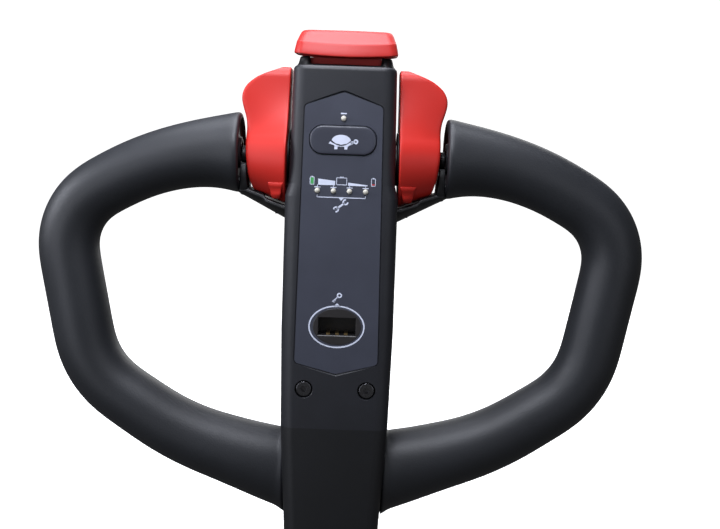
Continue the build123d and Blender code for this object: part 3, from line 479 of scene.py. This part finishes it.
bevel_x = 0.12 * (THRUST_X[1] - THRUST_X[0])
thrust_profile = [
    (THRUST_X[0], THRUST_R - THRUST_BEVEL), (THRUST_X[0] + bevel_x, THRUST_R),
    (THRUST_X[1] - bevel_x, THRUST_R), (THRUST_X[1], THRUST_R - THRUST_BEVEL),
    (THRUST_X[1], THRUST_BORE_R), (THRUST_X[0], THRUST_BORE_R),
]
on_throttle("thrust_ring", turned_points(thrust_profile, 48), cradle_black)
sleeve_profile = [
    (SLEEVE_X[0], SLEEVE_R), (SLEEVE_X[1] - 0.0002, SLEEVE_R), (SLEEVE_X[1], SLEEVE_R - 0.0001),
    (SLEEVE_X[1], SLEEVE_BORE_R), (SLEEVE_X[0], SLEEVE_BORE_R),
]
on_throttle("shaft_sleeve", turned_points(sleeve_profile, 32), cradle_black)

# A finger stop on each drum's lower front is moulded in one with the wing. Its upper half is thin, and it
# steps out to its full height below. Each row has its way down, from 0 to 1, and its share of that height.
STOP_TOP_Z, STOP_LOW_Z = 0.2132, 0.2052
STOP_TOP_X, STOP_LOW_X = (0.0322, 0.0422), (0.0346, 0.0398)
STOP_PROUD = 0.0027
STOP_ROWS = [
    (0, -0.25), (0.05, 0.28), (0.30, 0.30), (0.50, 0.34), (0.60, 0.80),
    (0.68, 1.0), (0.86, 1.0), (0.96, 0.85), (1, 0.60), (1.02, -0.6),
]
STOP_SECTION = [
    (0, -1), (0.02, 0), (0.08, 0.85), (0.16, 1), (0.5, 1),
    (0.84, 1), (0.92, 0.85), (0.98, 0), (1, -1),
]
STOP_SUNK = 0.0006


def stop_points():
    """Corners and faces of the right-hand finger stop."""
    rings = []
    for u, proud in STOP_ROWS:
        z = STOP_TOP_Z + (STOP_LOW_Z - STOP_TOP_Z) * u
        left = STOP_TOP_X[0] + (STOP_LOW_X[0] - STOP_TOP_X[0]) * u
        right = STOP_TOP_X[1] + (STOP_LOW_X[1] - STOP_TOP_X[1]) * u
        ring = []
        for v, lift in STOP_SECTION:
            x = left + (right - left) * v
            radius = drum_radius(x) + (STOP_PROUD * proud * lift if lift > 0 else STOP_SUNK * lift)
            drop = math.asin(min(1, (AXIS_Z - z) / drum_radius(x)))
            ring.append((x, -radius * math.cos(drop), AXIS_Z - radius * math.sin(drop)))
        rings.append(ring)
    return skin_rings(rings)


on_throttle("finger_stop", stop_points(), wing_red)


def metal_finish(name, colour, rough, brushed=0.0, size=0.0006):
    """Plated or blackened metal: a fine uneven sheen with a slight brushed bump."""
    finish = moulded_finish(name, colour, rough, size, 0.000004 + brushed, drift=0.06)
    finish.node_tree.nodes["Principled BSDF"].inputs["Metallic"].default_value = 1
    return finish


zinc = metal_finish("zinc_plate", (0.56, 0.57, 0.58), 0.30)
dress(zinc, "butterfly_shaft", "wing_pins", "left_loop_tube", "right_loop_tube", "spine_plate",
      "board_screws", "rocker_pin", "sensor_magnet", "return_spring", "belly_springs")
dress(moulded_finish("acetal_white", (0.62, 0.62, 0.60), 0.42, 0.0009, 0.000006, drift=0.03),
      "tower_bushes", "magnet_carrier")

# ---- reversing button ---------------------------------------------------------------------------------
# The button on top reverses the truck when it meets the driver. Its signal-red cap is a padded-looking
# moulding with an inclined front, on a plunger of a darker red.
CAP_LOW, CAP_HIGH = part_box("belly_cap")
CAP_RED = (0.430, 0.0205, 0.0165)
CAP_CROWN_UP = 0.0006
CAP_BOW = 0.0016
CAP_BULGE = 0.0030
CAP_CORNER = 0.0048
CAP_REAR_RISE = 0.07


def cap_ring(half_x, front, rear, z, corner, bow, bulge=CAP_BULGE):
    """One outline of the cap: a rounded rectangle whose front bulges and whose middle hangs lower."""
    middle, deep = (front + rear) / 2, (rear - front) / 2
    ring = []
    for quarter in range(4):
        sign_x = (1, -1, -1, 1)[quarter]
        sign_y = (1, 1, -1, -1)[quarter]
        for k in range(9):
            a = math.pi / 2 * (quarter + k / 8)
            cx, cy = sign_x * (half_x - corner), sign_y * (deep - corner)
            ring.append([cx + corner * math.cos(a), middle + cy + corner * math.sin(a)])
        if quarter in (0, 2):
            x, y = ring[-1]
            ring += [[x - 2 * x * t, y] for t in np.linspace(0, 1, 11)[1:-1]]
    points = []
    for x, y in ring:
        arch = max(0.0, 1 - (x / half_x) ** 2)
        y += bulge * arch * (y - middle) / deep
        points.append((x, y, z - bow * arch))
    return points


def cap_points():
    """Corners and faces of the cap, from its hollow underside over the lip to the crown.

    Each row has its share of the half-width, how far its front and rear are drawn in, its share of the
    height, its corner radius and its share of the bow."""
    lip, crown = CAP_LOW.z, CAP_HIGH.z
    wide, front, rear = CAP_HIGH.x, CAP_LOW.y + CAP_BULGE, CAP_HIGH.y - CAP_BULGE
    rise = crown - lip + CAP_CROWN_UP
    rows = [
        (0.872, 0.0040, -0.0040, 0.47, 0.0050, 0.4),
        (0.890, 0.0033, -0.0033, 0.30, CAP_CORNER, 0.8),
        (0.935, 0.0019, -0.0019, 0.125, CAP_CORNER, 1.0),
        (0.975, 0.0007, -0.0007, 0.092, CAP_CORNER, 1.0),
        (0.993, 0.0001, -0.0001, 0.100, CAP_CORNER, 1.0),
        (1.0, 0.0, 0.0, 0.130, CAP_CORNER, 1.0),
        (0.988, 0.0004, -0.0006, 0.27, CAP_CORNER, 1.0),
        (0.968, 0.0012, -0.0018, 0.43, CAP_CORNER, 1.0),
        (0.962, 0.0014, -0.0020, 0.50, CAP_CORNER, 1.0),
        (0.958, 0.0019, -0.0024, 0.535, CAP_CORNER, 1.0),
        (0.951, 0.0029, -0.0032, 0.565, CAP_CORNER, 0.95),
        (0.928, 0.0062, -0.0062, 0.72, CAP_CORNER, 0.80),
        (0.900, 0.0092, -0.0090, 0.865, CAP_CORNER, 0.60),
        (0.878, 0.0110, -0.0106, 0.940, CAP_CORNER, 0.40),
        (0.848, 0.0130, -0.0126, 0.985, 0.0042, 0.20),
        (0.79, 0.0155, -0.0148, 1.0, 0.0030, 0.05),
        (0.50, 0.0175, -0.0170, 1.0, 0.0015, 0.0),
    ]
    rings = []
    for share, fore, aft, up, corner, bow in rows:
        ring = cap_ring(wide * share, front + fore, rear + aft, lip + rise * up, corner, CAP_BOW * bow)
        rings.append([(x, y, z + CAP_REAR_RISE * (y - front) * max(0, 1 - 1.6 * up)) for x, y, z in ring])
    return skin_rings(rings)


cap_red = moulded_finish("cap_red", CAP_RED, 0.43, 0.0008, 0.00001, drift=0.05, gloss=0.34)
cap = subdivide(make_piece("reversing_cap", *cap_points(), cap_red))
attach(cap, "belly_button")
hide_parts("belly_cap")
dress(moulded_finish("stem_red", (0.34, 0.016, 0.013), 0.45, 0.0008, 0.00001, drift=0.05), "belly_plunger")
dress(cradle_black, "belly_guide")

# A black collar stands on the tower round the plunger and keeps dust out. The cap is hollow and closes over
# it when it is pressed, and the collar's front wall is cut low between its corners.
COLLAR_HALF_X, COLLAR_HALF_Y = 0.0262, 0.0152
COLLAR_CORNER = 0.0050
COLLAR_FRONT_Y, COLLAR_FRONT_H = -0.0060, 0.0016
NOTCH_STRETCH = 1.20
TOWER_TOP_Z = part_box("front_cover")[1].z
PLUNGER_GAP = 0.0003
PLUNGER_HALF_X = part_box("belly_plunger")[1].x + PLUNGER_GAP
PLUNGER_HALF_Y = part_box("belly_plunger")[1].y + PLUNGER_GAP
COLLAR_OUTSIDE = [
    (0.0022, -0.0006), (0.0014, 0.0006), (0.0006, 0.0018),
    (0.0, 0.0042), (-0.0003, 0.0054), (-0.0010, 0.0060),
]
COLLAR_INSIDE = [(0.0006, 0.0060), (0.0, 0.0056), (0.0, -0.0006)]
COLLAR_INSIDE_CORNER = 0.0012


def collar_points():
    """Corners and faces of the collar: over its outer wall and down its inner one."""
    rings = []
    for half_x, half_y, corner, rows in (
        (COLLAR_HALF_X, COLLAR_HALF_Y, COLLAR_CORNER, COLLAR_OUTSIDE),
        (PLUNGER_HALF_X, PLUNGER_HALF_Y, COLLAR_INSIDE_CORNER, COLLAR_INSIDE),
    ):
        for grow, z in rows:
            deep = half_y + grow
            rings.append(cap_ring(half_x + grow, -deep, deep, TOWER_TOP_Z + z, corner, 0, 0))
    low = TOWER_TOP_Z + COLLAR_FRONT_H
    notched = []
    for ring in rings:
        there = []
        for x, y, z in ring:
            if y < COLLAR_FRONT_Y and abs(x) < COLLAR_HALF_X - COLLAR_CORNER - 0.0010:
                x, z = x * NOTCH_STRETCH, min(z, low)
            there.append((x, y, z))
        notched.append(there)
    notched.append(notched[0])
    return skin_rings(notched, closed_ends=False)


# The collar takes the darkened black. Its extra darkness paints the shade that the cap throws on the
# tower's top, so the band under the cap's lip reads black.
collar = make_piece("plunger_collar", *collar_points(), cradle_black)
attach(collar, "head")

# ---- keypad -------------------------------------------------------------------------------------------
# A blue-grey membrane sheet lies in the cover's recess. One raised key lies under it, and its signs are
# screen-printed in pale grey.
PANEL_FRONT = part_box("keypad_panel")[0].y
PANEL_GREY = (0.0420, 0.0460, 0.0640)
INK_GREY = (0.58, 0.62, 0.74)
KEY_GREY = (0.0360, 0.0390, 0.0540)
INK_LIFT, INK_DEPTH = 0.00006, 0.00010
dress(moulded_finish("membrane", PANEL_GREY, 0.40, 0.0005, 0.000012, drift=0.07), "keypad_panel")
key_film = moulded_finish("key_film", KEY_GREY, 0.38, 0.0005, 0.000012, drift=0.07)
ink_grey = moulded_finish("ink_pale", INK_GREY, 0.55, 0.0004, 0.000003, drift=0.08)
ink_green = moulded_finish("ink_green", (0.05, 0.30, 0.08), 0.55, 0.0004, 0.000003, drift=0.08)
ink_red = moulded_finish("ink_red", (0.45, 0.03, 0.03), 0.55, 0.0004, 0.000003, drift=0.08)


def round_shape(x, z, rx, rz=None, start=0.0, end=2 * math.pi, count=28):
    """Points along an ellipse or part of one, in the face of the keypad."""
    rz = rx if rz is None else rz
    return [(x + rx * math.cos(a), z + rz * math.sin(a)) for a in np.linspace(start, end, count)]


def stroke(line, width):
    """Four-cornered patches that draw a line of a given width."""
    points = [Vector(p) for p in line]
    sides = []
    for k, p in enumerate(points):
        before, after = points[max(0, k - 1)], points[min(len(points) - 1, k + 1)]
        if k == 0 and (points[0] - points[-1]).length < 1e-7:
            before = points[-2]
        if k == len(points) - 1 and (points[0] - points[-1]).length < 1e-7:
            after = points[1]
        way = (after - before).normalized()
        sides.append(Vector((-way.y, way.x)) * width / 2)
    left = [p + side for p, side in zip(points, sides)]
    right = [p - side for p, side in zip(points, sides)]
    return [[left[k], left[k + 1], right[k + 1], right[k]] for k in range(len(points) - 1)]


def printed_sign(name, patches, finish, front, body="head", facing=-1):
    """Ink as a thin raised layer: each flat patch in the X-Z plane becomes a thin closed slab."""
    points, faces = [], []
    near, far = front + facing * INK_LIFT, front - facing * INK_DEPTH
    for patch in patches:
        start, count = len(points), len(patch)
        points += [(x, near, z) for x, z in patch] + [(x, far, z) for x, z in patch]
        faces.append(tuple(range(start, start + count)))
        faces.append(tuple(range(start + 2 * count - 1, start + count - 1, -1)))
        for k in range(count):
            n = (k + 1) % count
            faces.append((start + k, start + n, start + count + n, start + count + k))
    mesh = bpy.data.meshes.new(name)
    mesh.from_pydata(points, [], faces)
    work = bmesh.new()
    work.from_mesh(mesh)
    bmesh.ops.recalc_face_normals(work, faces=work.faces)
    work.to_mesh(mesh)
    work.free()
    mesh.materials.append(finish)
    sign = bpy.data.objects.new(name, mesh)
    bpy.context.scene.collection.objects.link(sign)
    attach(sign, body)
    return sign


# The speed key is a domed film over a snap switch, with a tortoise on it for creep speed.
KEY_LOW, KEY_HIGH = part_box("speed_button")
KEY_X, KEY_Z = (KEY_LOW.x + KEY_HIGH.x) / 2, (KEY_LOW.z + KEY_HIGH.z) / 2
KEY_HALF_X, KEY_HALF_Z = (KEY_HIGH.x - KEY_LOW.x) / 2, (KEY_HIGH.z - KEY_LOW.z) / 2
KEY_ROUND = 0.0073


def key_outline(inset):
    """The key's rounded rectangle, drawn in by inset."""
    half_x, half_z, corner = KEY_HALF_X - inset, KEY_HALF_Z - inset, max(0.001, KEY_ROUND - inset)
    ring = []
    for quarter in range(4):
        cx = (1, -1, -1, 1)[quarter] * (half_x - corner)
        cz = (1, 1, -1, -1)[quarter] * (half_z - corner)
        for k in range(9):
            a = math.pi / 2 * (quarter + k / 8)
            ring.append((KEY_X + cx + corner * math.cos(a), KEY_Z + cz + corner * math.sin(a)))
    return ring


key_rings = []
for inset, y in [
    (0.0000, KEY_HIGH.y), (0.0000, PANEL_FRONT + 0.0001), (0.0001, PANEL_FRONT - 0.0003),
    (0.0003, KEY_LOW.y + 0.00030), (0.0006, KEY_LOW.y + 0.00012), (0.0011, KEY_LOW.y + 0.00003),
    (0.0022, KEY_LOW.y), (0.0045, KEY_LOW.y),
]:
    key_rings.append([(x, y, z) for x, z in key_outline(inset)])
speed_key = make_piece("speed_key_film", *skin_rings(key_rings), key_film)
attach(speed_key, "speed_key")
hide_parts("speed_button")

TORTOISE_X, TORTOISE_Z = KEY_X - 0.0004, KEY_Z - 0.0006
TORTOISE_SCALE = 0.85
shell = round_shape(-0.0006, 0.0002, 0.0062, 0.0040, 0.08, math.pi - 0.08, 22)
shell += [(-0.0042, -0.0014), (-0.0006, -0.0022), (0.0030, -0.0014)]
body_bar = [(-0.0086, -0.0016), (-0.0078, -0.0002), (-0.0058, -0.0014), (-0.0036, -0.0024),
            (-0.0006, -0.0031), (0.0024, -0.0024), (0.0046, -0.0010), (0.0062, -0.0002), (0.0072, -0.0014),
            (0.0046, -0.0026), (0.0036, -0.0034), (-0.0046, -0.0034), (-0.0056, -0.0024)]
fore_leg = [(0.0014, -0.0033), (0.0036, -0.0033), (0.0034, -0.0052), (0.0016, -0.0052)]
hind_leg = [(-0.0050, -0.0033), (-0.0028, -0.0033), (-0.0030, -0.0052), (-0.0050, -0.0052)]
neck_bar = [(0.0058, -0.0016), (0.0076, -0.0010), (0.0076, 0.0006), (0.0056, 0.0000)]
head_ring = stroke(round_shape(0.0088, 0.0000, 0.0011, count=18), 0.0010)
tortoise = [shell, body_bar, fore_leg, hind_leg, neck_bar, *head_ring]
tortoise = [
    [(TORTOISE_X + TORTOISE_SCALE * x, TORTOISE_Z + TORTOISE_SCALE * z) for x, z in patch]
    for patch in tortoise
]
printed_sign("tortoise_sign", tortoise, ink_grey, KEY_LOW.y, "speed_key")

# The lamps are clear domes over pale dies, and the battery signs run from full on the left to empty on the
# right, with a service sign under them.
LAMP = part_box("battery_leds")
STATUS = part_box("status_led")
LAMP_Z = (LAMP[0].z + LAMP[1].z) / 2
LAMP_R = (LAMP[1].z - LAMP[0].z) / 2
LAMP_XS = np.linspace(LAMP[0].x + LAMP_R, LAMP[1].x - LAMP_R, 4)
LAMP_MIDDLE = float(np.mean(LAMP_XS))


def clear_finish(name, colour, rough, through):
    """Clear or cloudy resin with a slight drift of tone."""
    finish = moulded_finish(name, colour, rough, 0.0005, 0.000002, drift=0.05)
    finish.node_tree.nodes["Principled BSDF"].inputs["Transmission Weight"].default_value = through
    return finish


dress(clear_finish("lamp_resin", (0.80, 0.77, 0.66), 0.10, 0.35), "battery_leds", "status_led")

marks = []
status_x, status_z = (STATUS[0].x + STATUS[1].x) / 2, STATUS[1].z
marks += stroke([(status_x - 0.0016, status_z + 0.0012), (status_x + 0.0016, status_z + 0.0012)], 0.0007)
for x in LAMP_XS:
    marks += stroke([(x - 0.0017, LAMP_Z + 0.0019), (x + 0.0017, LAMP_Z + 0.0019)], 0.0004)
    marks += stroke([(x, LAMP_Z + 0.0020), (x, LAMP_Z + 0.0034)], 0.0003)
wedge_left, wedge_right = LAMP_XS[0] + 0.0004, LAMP_XS[3] + 0.0010
wedge_z = LAMP_Z + 0.0048


def wedge_half(x):
    """Half-height of the charge bar, which thins to the right."""
    return 0.0017 - 0.0014 * (x - wedge_left) / (wedge_right - wedge_left)


wedge_foot = wedge_z - wedge_half(wedge_left)
for a, b in ((wedge_left, LAMP_MIDDLE - 0.0036), (LAMP_MIDDLE + 0.0036, wedge_right)):
    high_a, high_b = wedge_foot + 2 * wedge_half(a), wedge_foot + 2 * wedge_half(b)
    marks.append([(a, high_a), (b, high_b), (b, wedge_foot), (a, wedge_foot)])


def battery_outline(x, z, half_w, half_h, line):
    """A battery sign: an upright case with its terminal on top."""
    left, right, low, high = x - half_w, x + half_w, z - half_h, z + half_h
    case = [(left, low), (right, low), (right, high), (left, high), (left, low)]
    patches = []
    for p, q in zip(case, case[1:]):
        patches += stroke([p, q], line)
    terminal = [(x - 0.4 * half_w, high + line), (x + 0.4 * half_w, high + line)]
    return patches + stroke(terminal, 1.6 * line)


marks += battery_outline(LAMP_MIDDLE, wedge_z + 0.0006, 0.0028, 0.0019, 0.00035)
marks += battery_outline(wedge_right + 0.0032, wedge_z + 0.0005, 0.0011, 0.0020, 0.0003)
marks += battery_outline(wedge_left - 0.0034, wedge_z + 0.0005, 0.0011, 0.0020, 0.0003)
bracket_z = LAMP_Z - 0.0036
bracket_top = LAMP_Z - 0.0024
bracket = [(LAMP_XS[0], bracket_top), (LAMP_XS[0], bracket_z)]
bracket += [(LAMP_XS[3], bracket_z), (LAMP_XS[3], bracket_top)]
for p, q in zip(bracket, bracket[1:]):
    marks += stroke([p, q], 0.00045)
marks.append([(LAMP_MIDDLE - 0.0014, bracket_z - 0.0002), (LAMP_MIDDLE + 0.0014, bracket_z - 0.0002),
              (LAMP_MIDDLE, bracket_z - 0.0018)])
wrench_low, wrench_high = (LAMP_MIDDLE - 0.0022, LAMP_Z - 0.0098), (LAMP_MIDDLE + 0.0020, LAMP_Z - 0.0064)
marks += stroke([wrench_low, wrench_high], 0.0010)
for (x, z), opening in ((wrench_low, math.radians(218)), (wrench_high, math.radians(38))):
    jaw_x, jaw_z = x + 0.0006 * math.cos(opening), z + 0.0006 * math.sin(opening)
    jaw = round_shape(jaw_x, jaw_z, 0.0013, start=opening + 0.7, end=opening + 2 * math.pi - 0.7, count=14)
    marks += stroke(jaw, 0.0008)

# A printed ring with a pointer goes round the key slot, and a small key stands above it.
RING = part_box("key_bezel")
RING_X, RING_Z = (RING[0].x + RING[1].x) / 2 - 0.0003, (RING[0].z + RING[1].z) / 2
RING_HALF_X = (RING[1].x - RING[0].x) / 2 + 0.0018
RING_HALF_Z = (RING[1].z - RING[0].z) / 2 + 0.0013
RING_TOP = RING_Z + RING_HALF_Z
marks += stroke(round_shape(RING_X, RING_Z, RING_HALF_X, RING_HALF_Z, count=72), 0.0008)
marks.append([(RING_X - 0.0020, RING_TOP), (RING_X + 0.0020, RING_TOP), (RING_X, RING_TOP + 0.0017)])
key_x, key_z = RING_X + 0.0011, RING_TOP + 0.0061
marks += stroke(round_shape(key_x, key_z, 0.0011, count=22), 0.0008)
marks += stroke([(key_x - 0.0008, key_z - 0.0008), (key_x - 0.0038, key_z - 0.0036)], 0.0007)
marks += stroke([(key_x - 0.0026, key_z - 0.0025), (key_x - 0.0021, key_z - 0.0031)], 0.0006)
marks += stroke([(key_x - 0.0034, key_z - 0.0033), (key_x - 0.0028, key_z - 0.0039)], 0.0006)
printed_sign("keypad_signs", marks, ink_grey, PANEL_FRONT)
full_x = wedge_left - 0.0034
full_case = [(full_x - 0.0009, wedge_z - 0.0013), (full_x + 0.0009, wedge_z - 0.0013),
             (full_x + 0.0009, wedge_z + 0.0023), (full_x - 0.0009, wedge_z + 0.0023)]
printed_sign("full_battery_sign", [full_case], ink_green, PANEL_FRONT)
low_x = wedge_right + 0.0032
low_bar = [(low_x - 0.0008, wedge_z - 0.0011), (low_x + 0.0008, wedge_z - 0.0011),
           (low_x + 0.0008, wedge_z - 0.0004), (low_x - 0.0008, wedge_z - 0.0004)]
printed_sign("low_battery_sign", [low_bar], ink_red, PANEL_FRONT)

# ---- key slot -----------------------------------------------------------------------------------------
# The truck's electronic key plugs into a slot in an oval bezel. Both are semi-gloss black mouldings, and
# brass blades stand inside. The threaded inserts in the neck's face are turned from brass too.
bezel_black = moulded_finish("bezel_black", (0.0230, 0.0215, 0.0220), 0.33, 0.0006, 0.000008, drift=0.1)
dress(bezel_black, "key_bezel")
socket_black = moulded_finish("socket_black", (0.0130, 0.0125, 0.0130), 0.38, 0.0006, 0.000008, drift=0.1)
dress(socket_black, "key_socket")
dress(metal_finish("brass_turned", (0.62, 0.44, 0.19), 0.30), "key_contacts", "arm_inserts")

# ---- screws -------------------------------------------------------------------------------------------
# All screws that show are socket heads with a black oxide finish, oiled and slightly glossy.
black_oxide = metal_finish("black_oxide", (0.130, 0.130, 0.140), 0.30)
dress(black_oxide, "cover_screws", "rear_screws", "cradle_screws")

# ---- inner parts --------------------------------------------------------------------------------------
# The controls' board, its switches and the plug header sit inside the closed tower. The cable comes up
# through a rubber grommet in the neck's face.
board_green = moulded_finish("board_green", (0.018, 0.115, 0.045), 0.38, 0.0008, 0.000010, drift=0.1)
dress(board_green, "circuit_board")
dress(moulded_finish("switch_black", (0.024, 0.024, 0.025), 0.45, 0.0006, 0.00001),
      "speed_switch", "hall_sensor", "belly_switch", "rear_switches")
nylon_natural = moulded_finish("nylon_natural", (0.72, 0.69, 0.62), 0.45, 0.0008, 0.00001, drift=0.04)
dress(nylon_natural, "harness_connector")
dress(moulded_finish("grommet_rubber", (0.016, 0.016, 0.017), 0.75, 0.0009, 0.00003), "cable_grommet")

# ---- rear controls ------------------------------------------------------------------------------------
# The rocker on the back lifts and lowers the forks, and the round button under it sounds the horn. Both
# are dark grey mouldings with pale printed signs.
rear_grey = moulded_finish("rear_button_grey", (0.048, 0.049, 0.054), 0.45, 0.0006, 0.00001, drift=0.08)
dress(rear_grey, "lift_rocker", "horn_button")

ROCKER_LOW, ROCKER_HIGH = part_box("lift_rocker")
ROCKER_X, ROCKER_Z = (ROCKER_LOW.x + ROCKER_HIGH.x) / 2, (ROCKER_LOW.z + ROCKER_HIGH.z) / 2
HORN_LOW, HORN_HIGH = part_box("horn_button")
HORN_X, HORN_Z = (HORN_LOW.x + HORN_HIGH.x) / 2, (HORN_LOW.z + HORN_HIGH.z) / 2
arrows = []
for way in (1, -1):
    tip = ROCKER_Z + way * 0.0085
    neck_z, tail_z = tip - way * 0.0034, tip - way * 0.0058
    arrows.append([(ROCKER_X, tip), (ROCKER_X - 0.0028, neck_z), (ROCKER_X + 0.0028, neck_z)])
    arrows.append([(ROCKER_X - 0.0010, neck_z), (ROCKER_X + 0.0010, neck_z),
                   (ROCKER_X + 0.0010, tail_z), (ROCKER_X - 0.0010, tail_z)])
printed_sign("lift_arrows", arrows, ink_grey, ROCKER_HIGH.y, "lift_key", 1)
horn_bell = [(HORN_X + 0.0030, HORN_Z - 0.0030), (HORN_X + 0.0030, HORN_Z + 0.0030),
             (HORN_X - 0.0004, HORN_Z + 0.0011), (HORN_X - 0.0004, HORN_Z - 0.0011)]
horn_stem = [(HORN_X - 0.0008, HORN_Z - 0.0009), (HORN_X - 0.0008, HORN_Z + 0.0009),
             (HORN_X - 0.0030, HORN_Z + 0.0009), (HORN_X - 0.0030, HORN_Z - 0.0009)]
printed_sign("horn_sign", [horn_bell, horn_stem], ink_grey, HORN_HIGH.y, "horn_key", 1)

# ---- camera, light and floor --------------------------------------------------------------------------
# The head stands in a wide white bowl that glows, so everything behind it is white. Soft boxes on the left
# and overhead are the main lights, with weaker ones low on the left, in front, on the right and behind.
AIM = Vector((0.0117, 0.0, 0.1663))
DISTANCE = 0.585
ELEVATION = math.radians(6)
ROLL = math.radians(2.0)
COOL = (0.95, 0.98, 1.08)
AMBIENT = 0.11
BOWL_FLAT_R, BOWL_BEND, BOWL_TOP = 2.0, 0.7, 4.0
BOWL_AROUND = 72
FLOOR_DROP = 0.0004

camera = bpy.data.objects.new("camera", bpy.data.cameras.new("camera"))
camera.data.lens = 50
camera.data.sensor_width = 36
camera.data.clip_start = 0.01
camera.location = AIM + DISTANCE * Vector((0, -math.cos(ELEVATION), math.sin(ELEVATION)))
facing = (AIM - camera.location).to_track_quat("-Z", "Y").to_matrix() @ Matrix.Rotation(ROLL, 3, "Z")
camera.rotation_euler = facing.to_euler()
bpy.context.scene.collection.objects.link(camera)
bpy.context.scene.camera = camera
bpy.context.scene.view_settings.view_transform = "Standard"


def soft_box(name, place, target, size, power, tint=(1, 1, 1)):
    """A square soft box that shines from place towards target."""
    light = bpy.data.lights.new(name, "AREA")
    light.size = size
    light.energy = power
    light.color = tint
    lamp = bpy.data.objects.new(name, light)
    lamp.location = place
    lamp.rotation_euler = (Vector(target) - Vector(place)).to_track_quat("-Z", "Y").to_euler()
    bpy.context.scene.collection.objects.link(lamp)


soft_box("key_light", (-0.85, -0.22, 0.50), (-0.05, 0, 0.16), 0.45, 5.8, COOL)
soft_box("low_light", (-0.60, -0.72, 0.14), (-0.12, 0, 0.12), 0.45, 1.9, COOL)
soft_box("front_light", (-0.07, -0.31, 0.57), (0, 0, 0.25), 0.22, 2.3, COOL)
soft_box("top_light", (-0.05, 0.05, 0.95), (0, 0, 0.15), 0.60, 8.5, COOL)
soft_box("fill_light", (0.70, -0.85, 0.30), (0, 0, 0.14), 0.60, 1.2, COOL)
soft_box("back_light", (0.30, 1.10, 0.60), (0, 0, 0.15), 0.80, 5.0)

world = bpy.data.worlds.new("studio")
world.use_nodes = True
world.node_tree.nodes["Background"].inputs["Color"].default_value = (1, 1, 1, 1)
world.node_tree.nodes["Background"].inputs["Strength"].default_value = AMBIENT
bpy.context.scene.world = world

bowl = [(r, 0.0) for r in (0.05, 0.5, 1.2, BOWL_FLAT_R)]
for a in np.linspace(0.1, math.pi / 2, 12):
    bowl.append((BOWL_FLAT_R + BOWL_BEND * math.sin(a), BOWL_BEND - BOWL_BEND * math.cos(a)))
bowl += [(BOWL_FLAT_R + BOWL_BEND, BOWL_TOP / 2), (BOWL_FLAT_R + BOWL_BEND, BOWL_TOP)]
around = np.linspace(0, 2 * math.pi, BOWL_AROUND + 1)[:-1]
floor_rings = [[(r * math.cos(a), r * math.sin(a), z - FLOOR_DROP) for a in around] for r, z in bowl]
floor_points, floor_faces = skin_rings(floor_rings, closed_ends=False)
floor_faces.append(tuple(range(BOWL_AROUND)))
pale = moulded_finish("pale_paper", (0.86, 0.86, 0.86), 0.85, 0.002, 0.00001, drift=0.01, gloss=0.1)
pale_shader = pale.node_tree.nodes["Principled BSDF"]
pale_shader.inputs["Emission Color"].default_value = (1, 1, 1, 1)
pale_shader.inputs["Emission Strength"].default_value = 1.0
backdrop = make_piece("backdrop", floor_points, floor_faces, pale)
backdrop.visible_glossy = False
backdrop.visible_diffuse = False
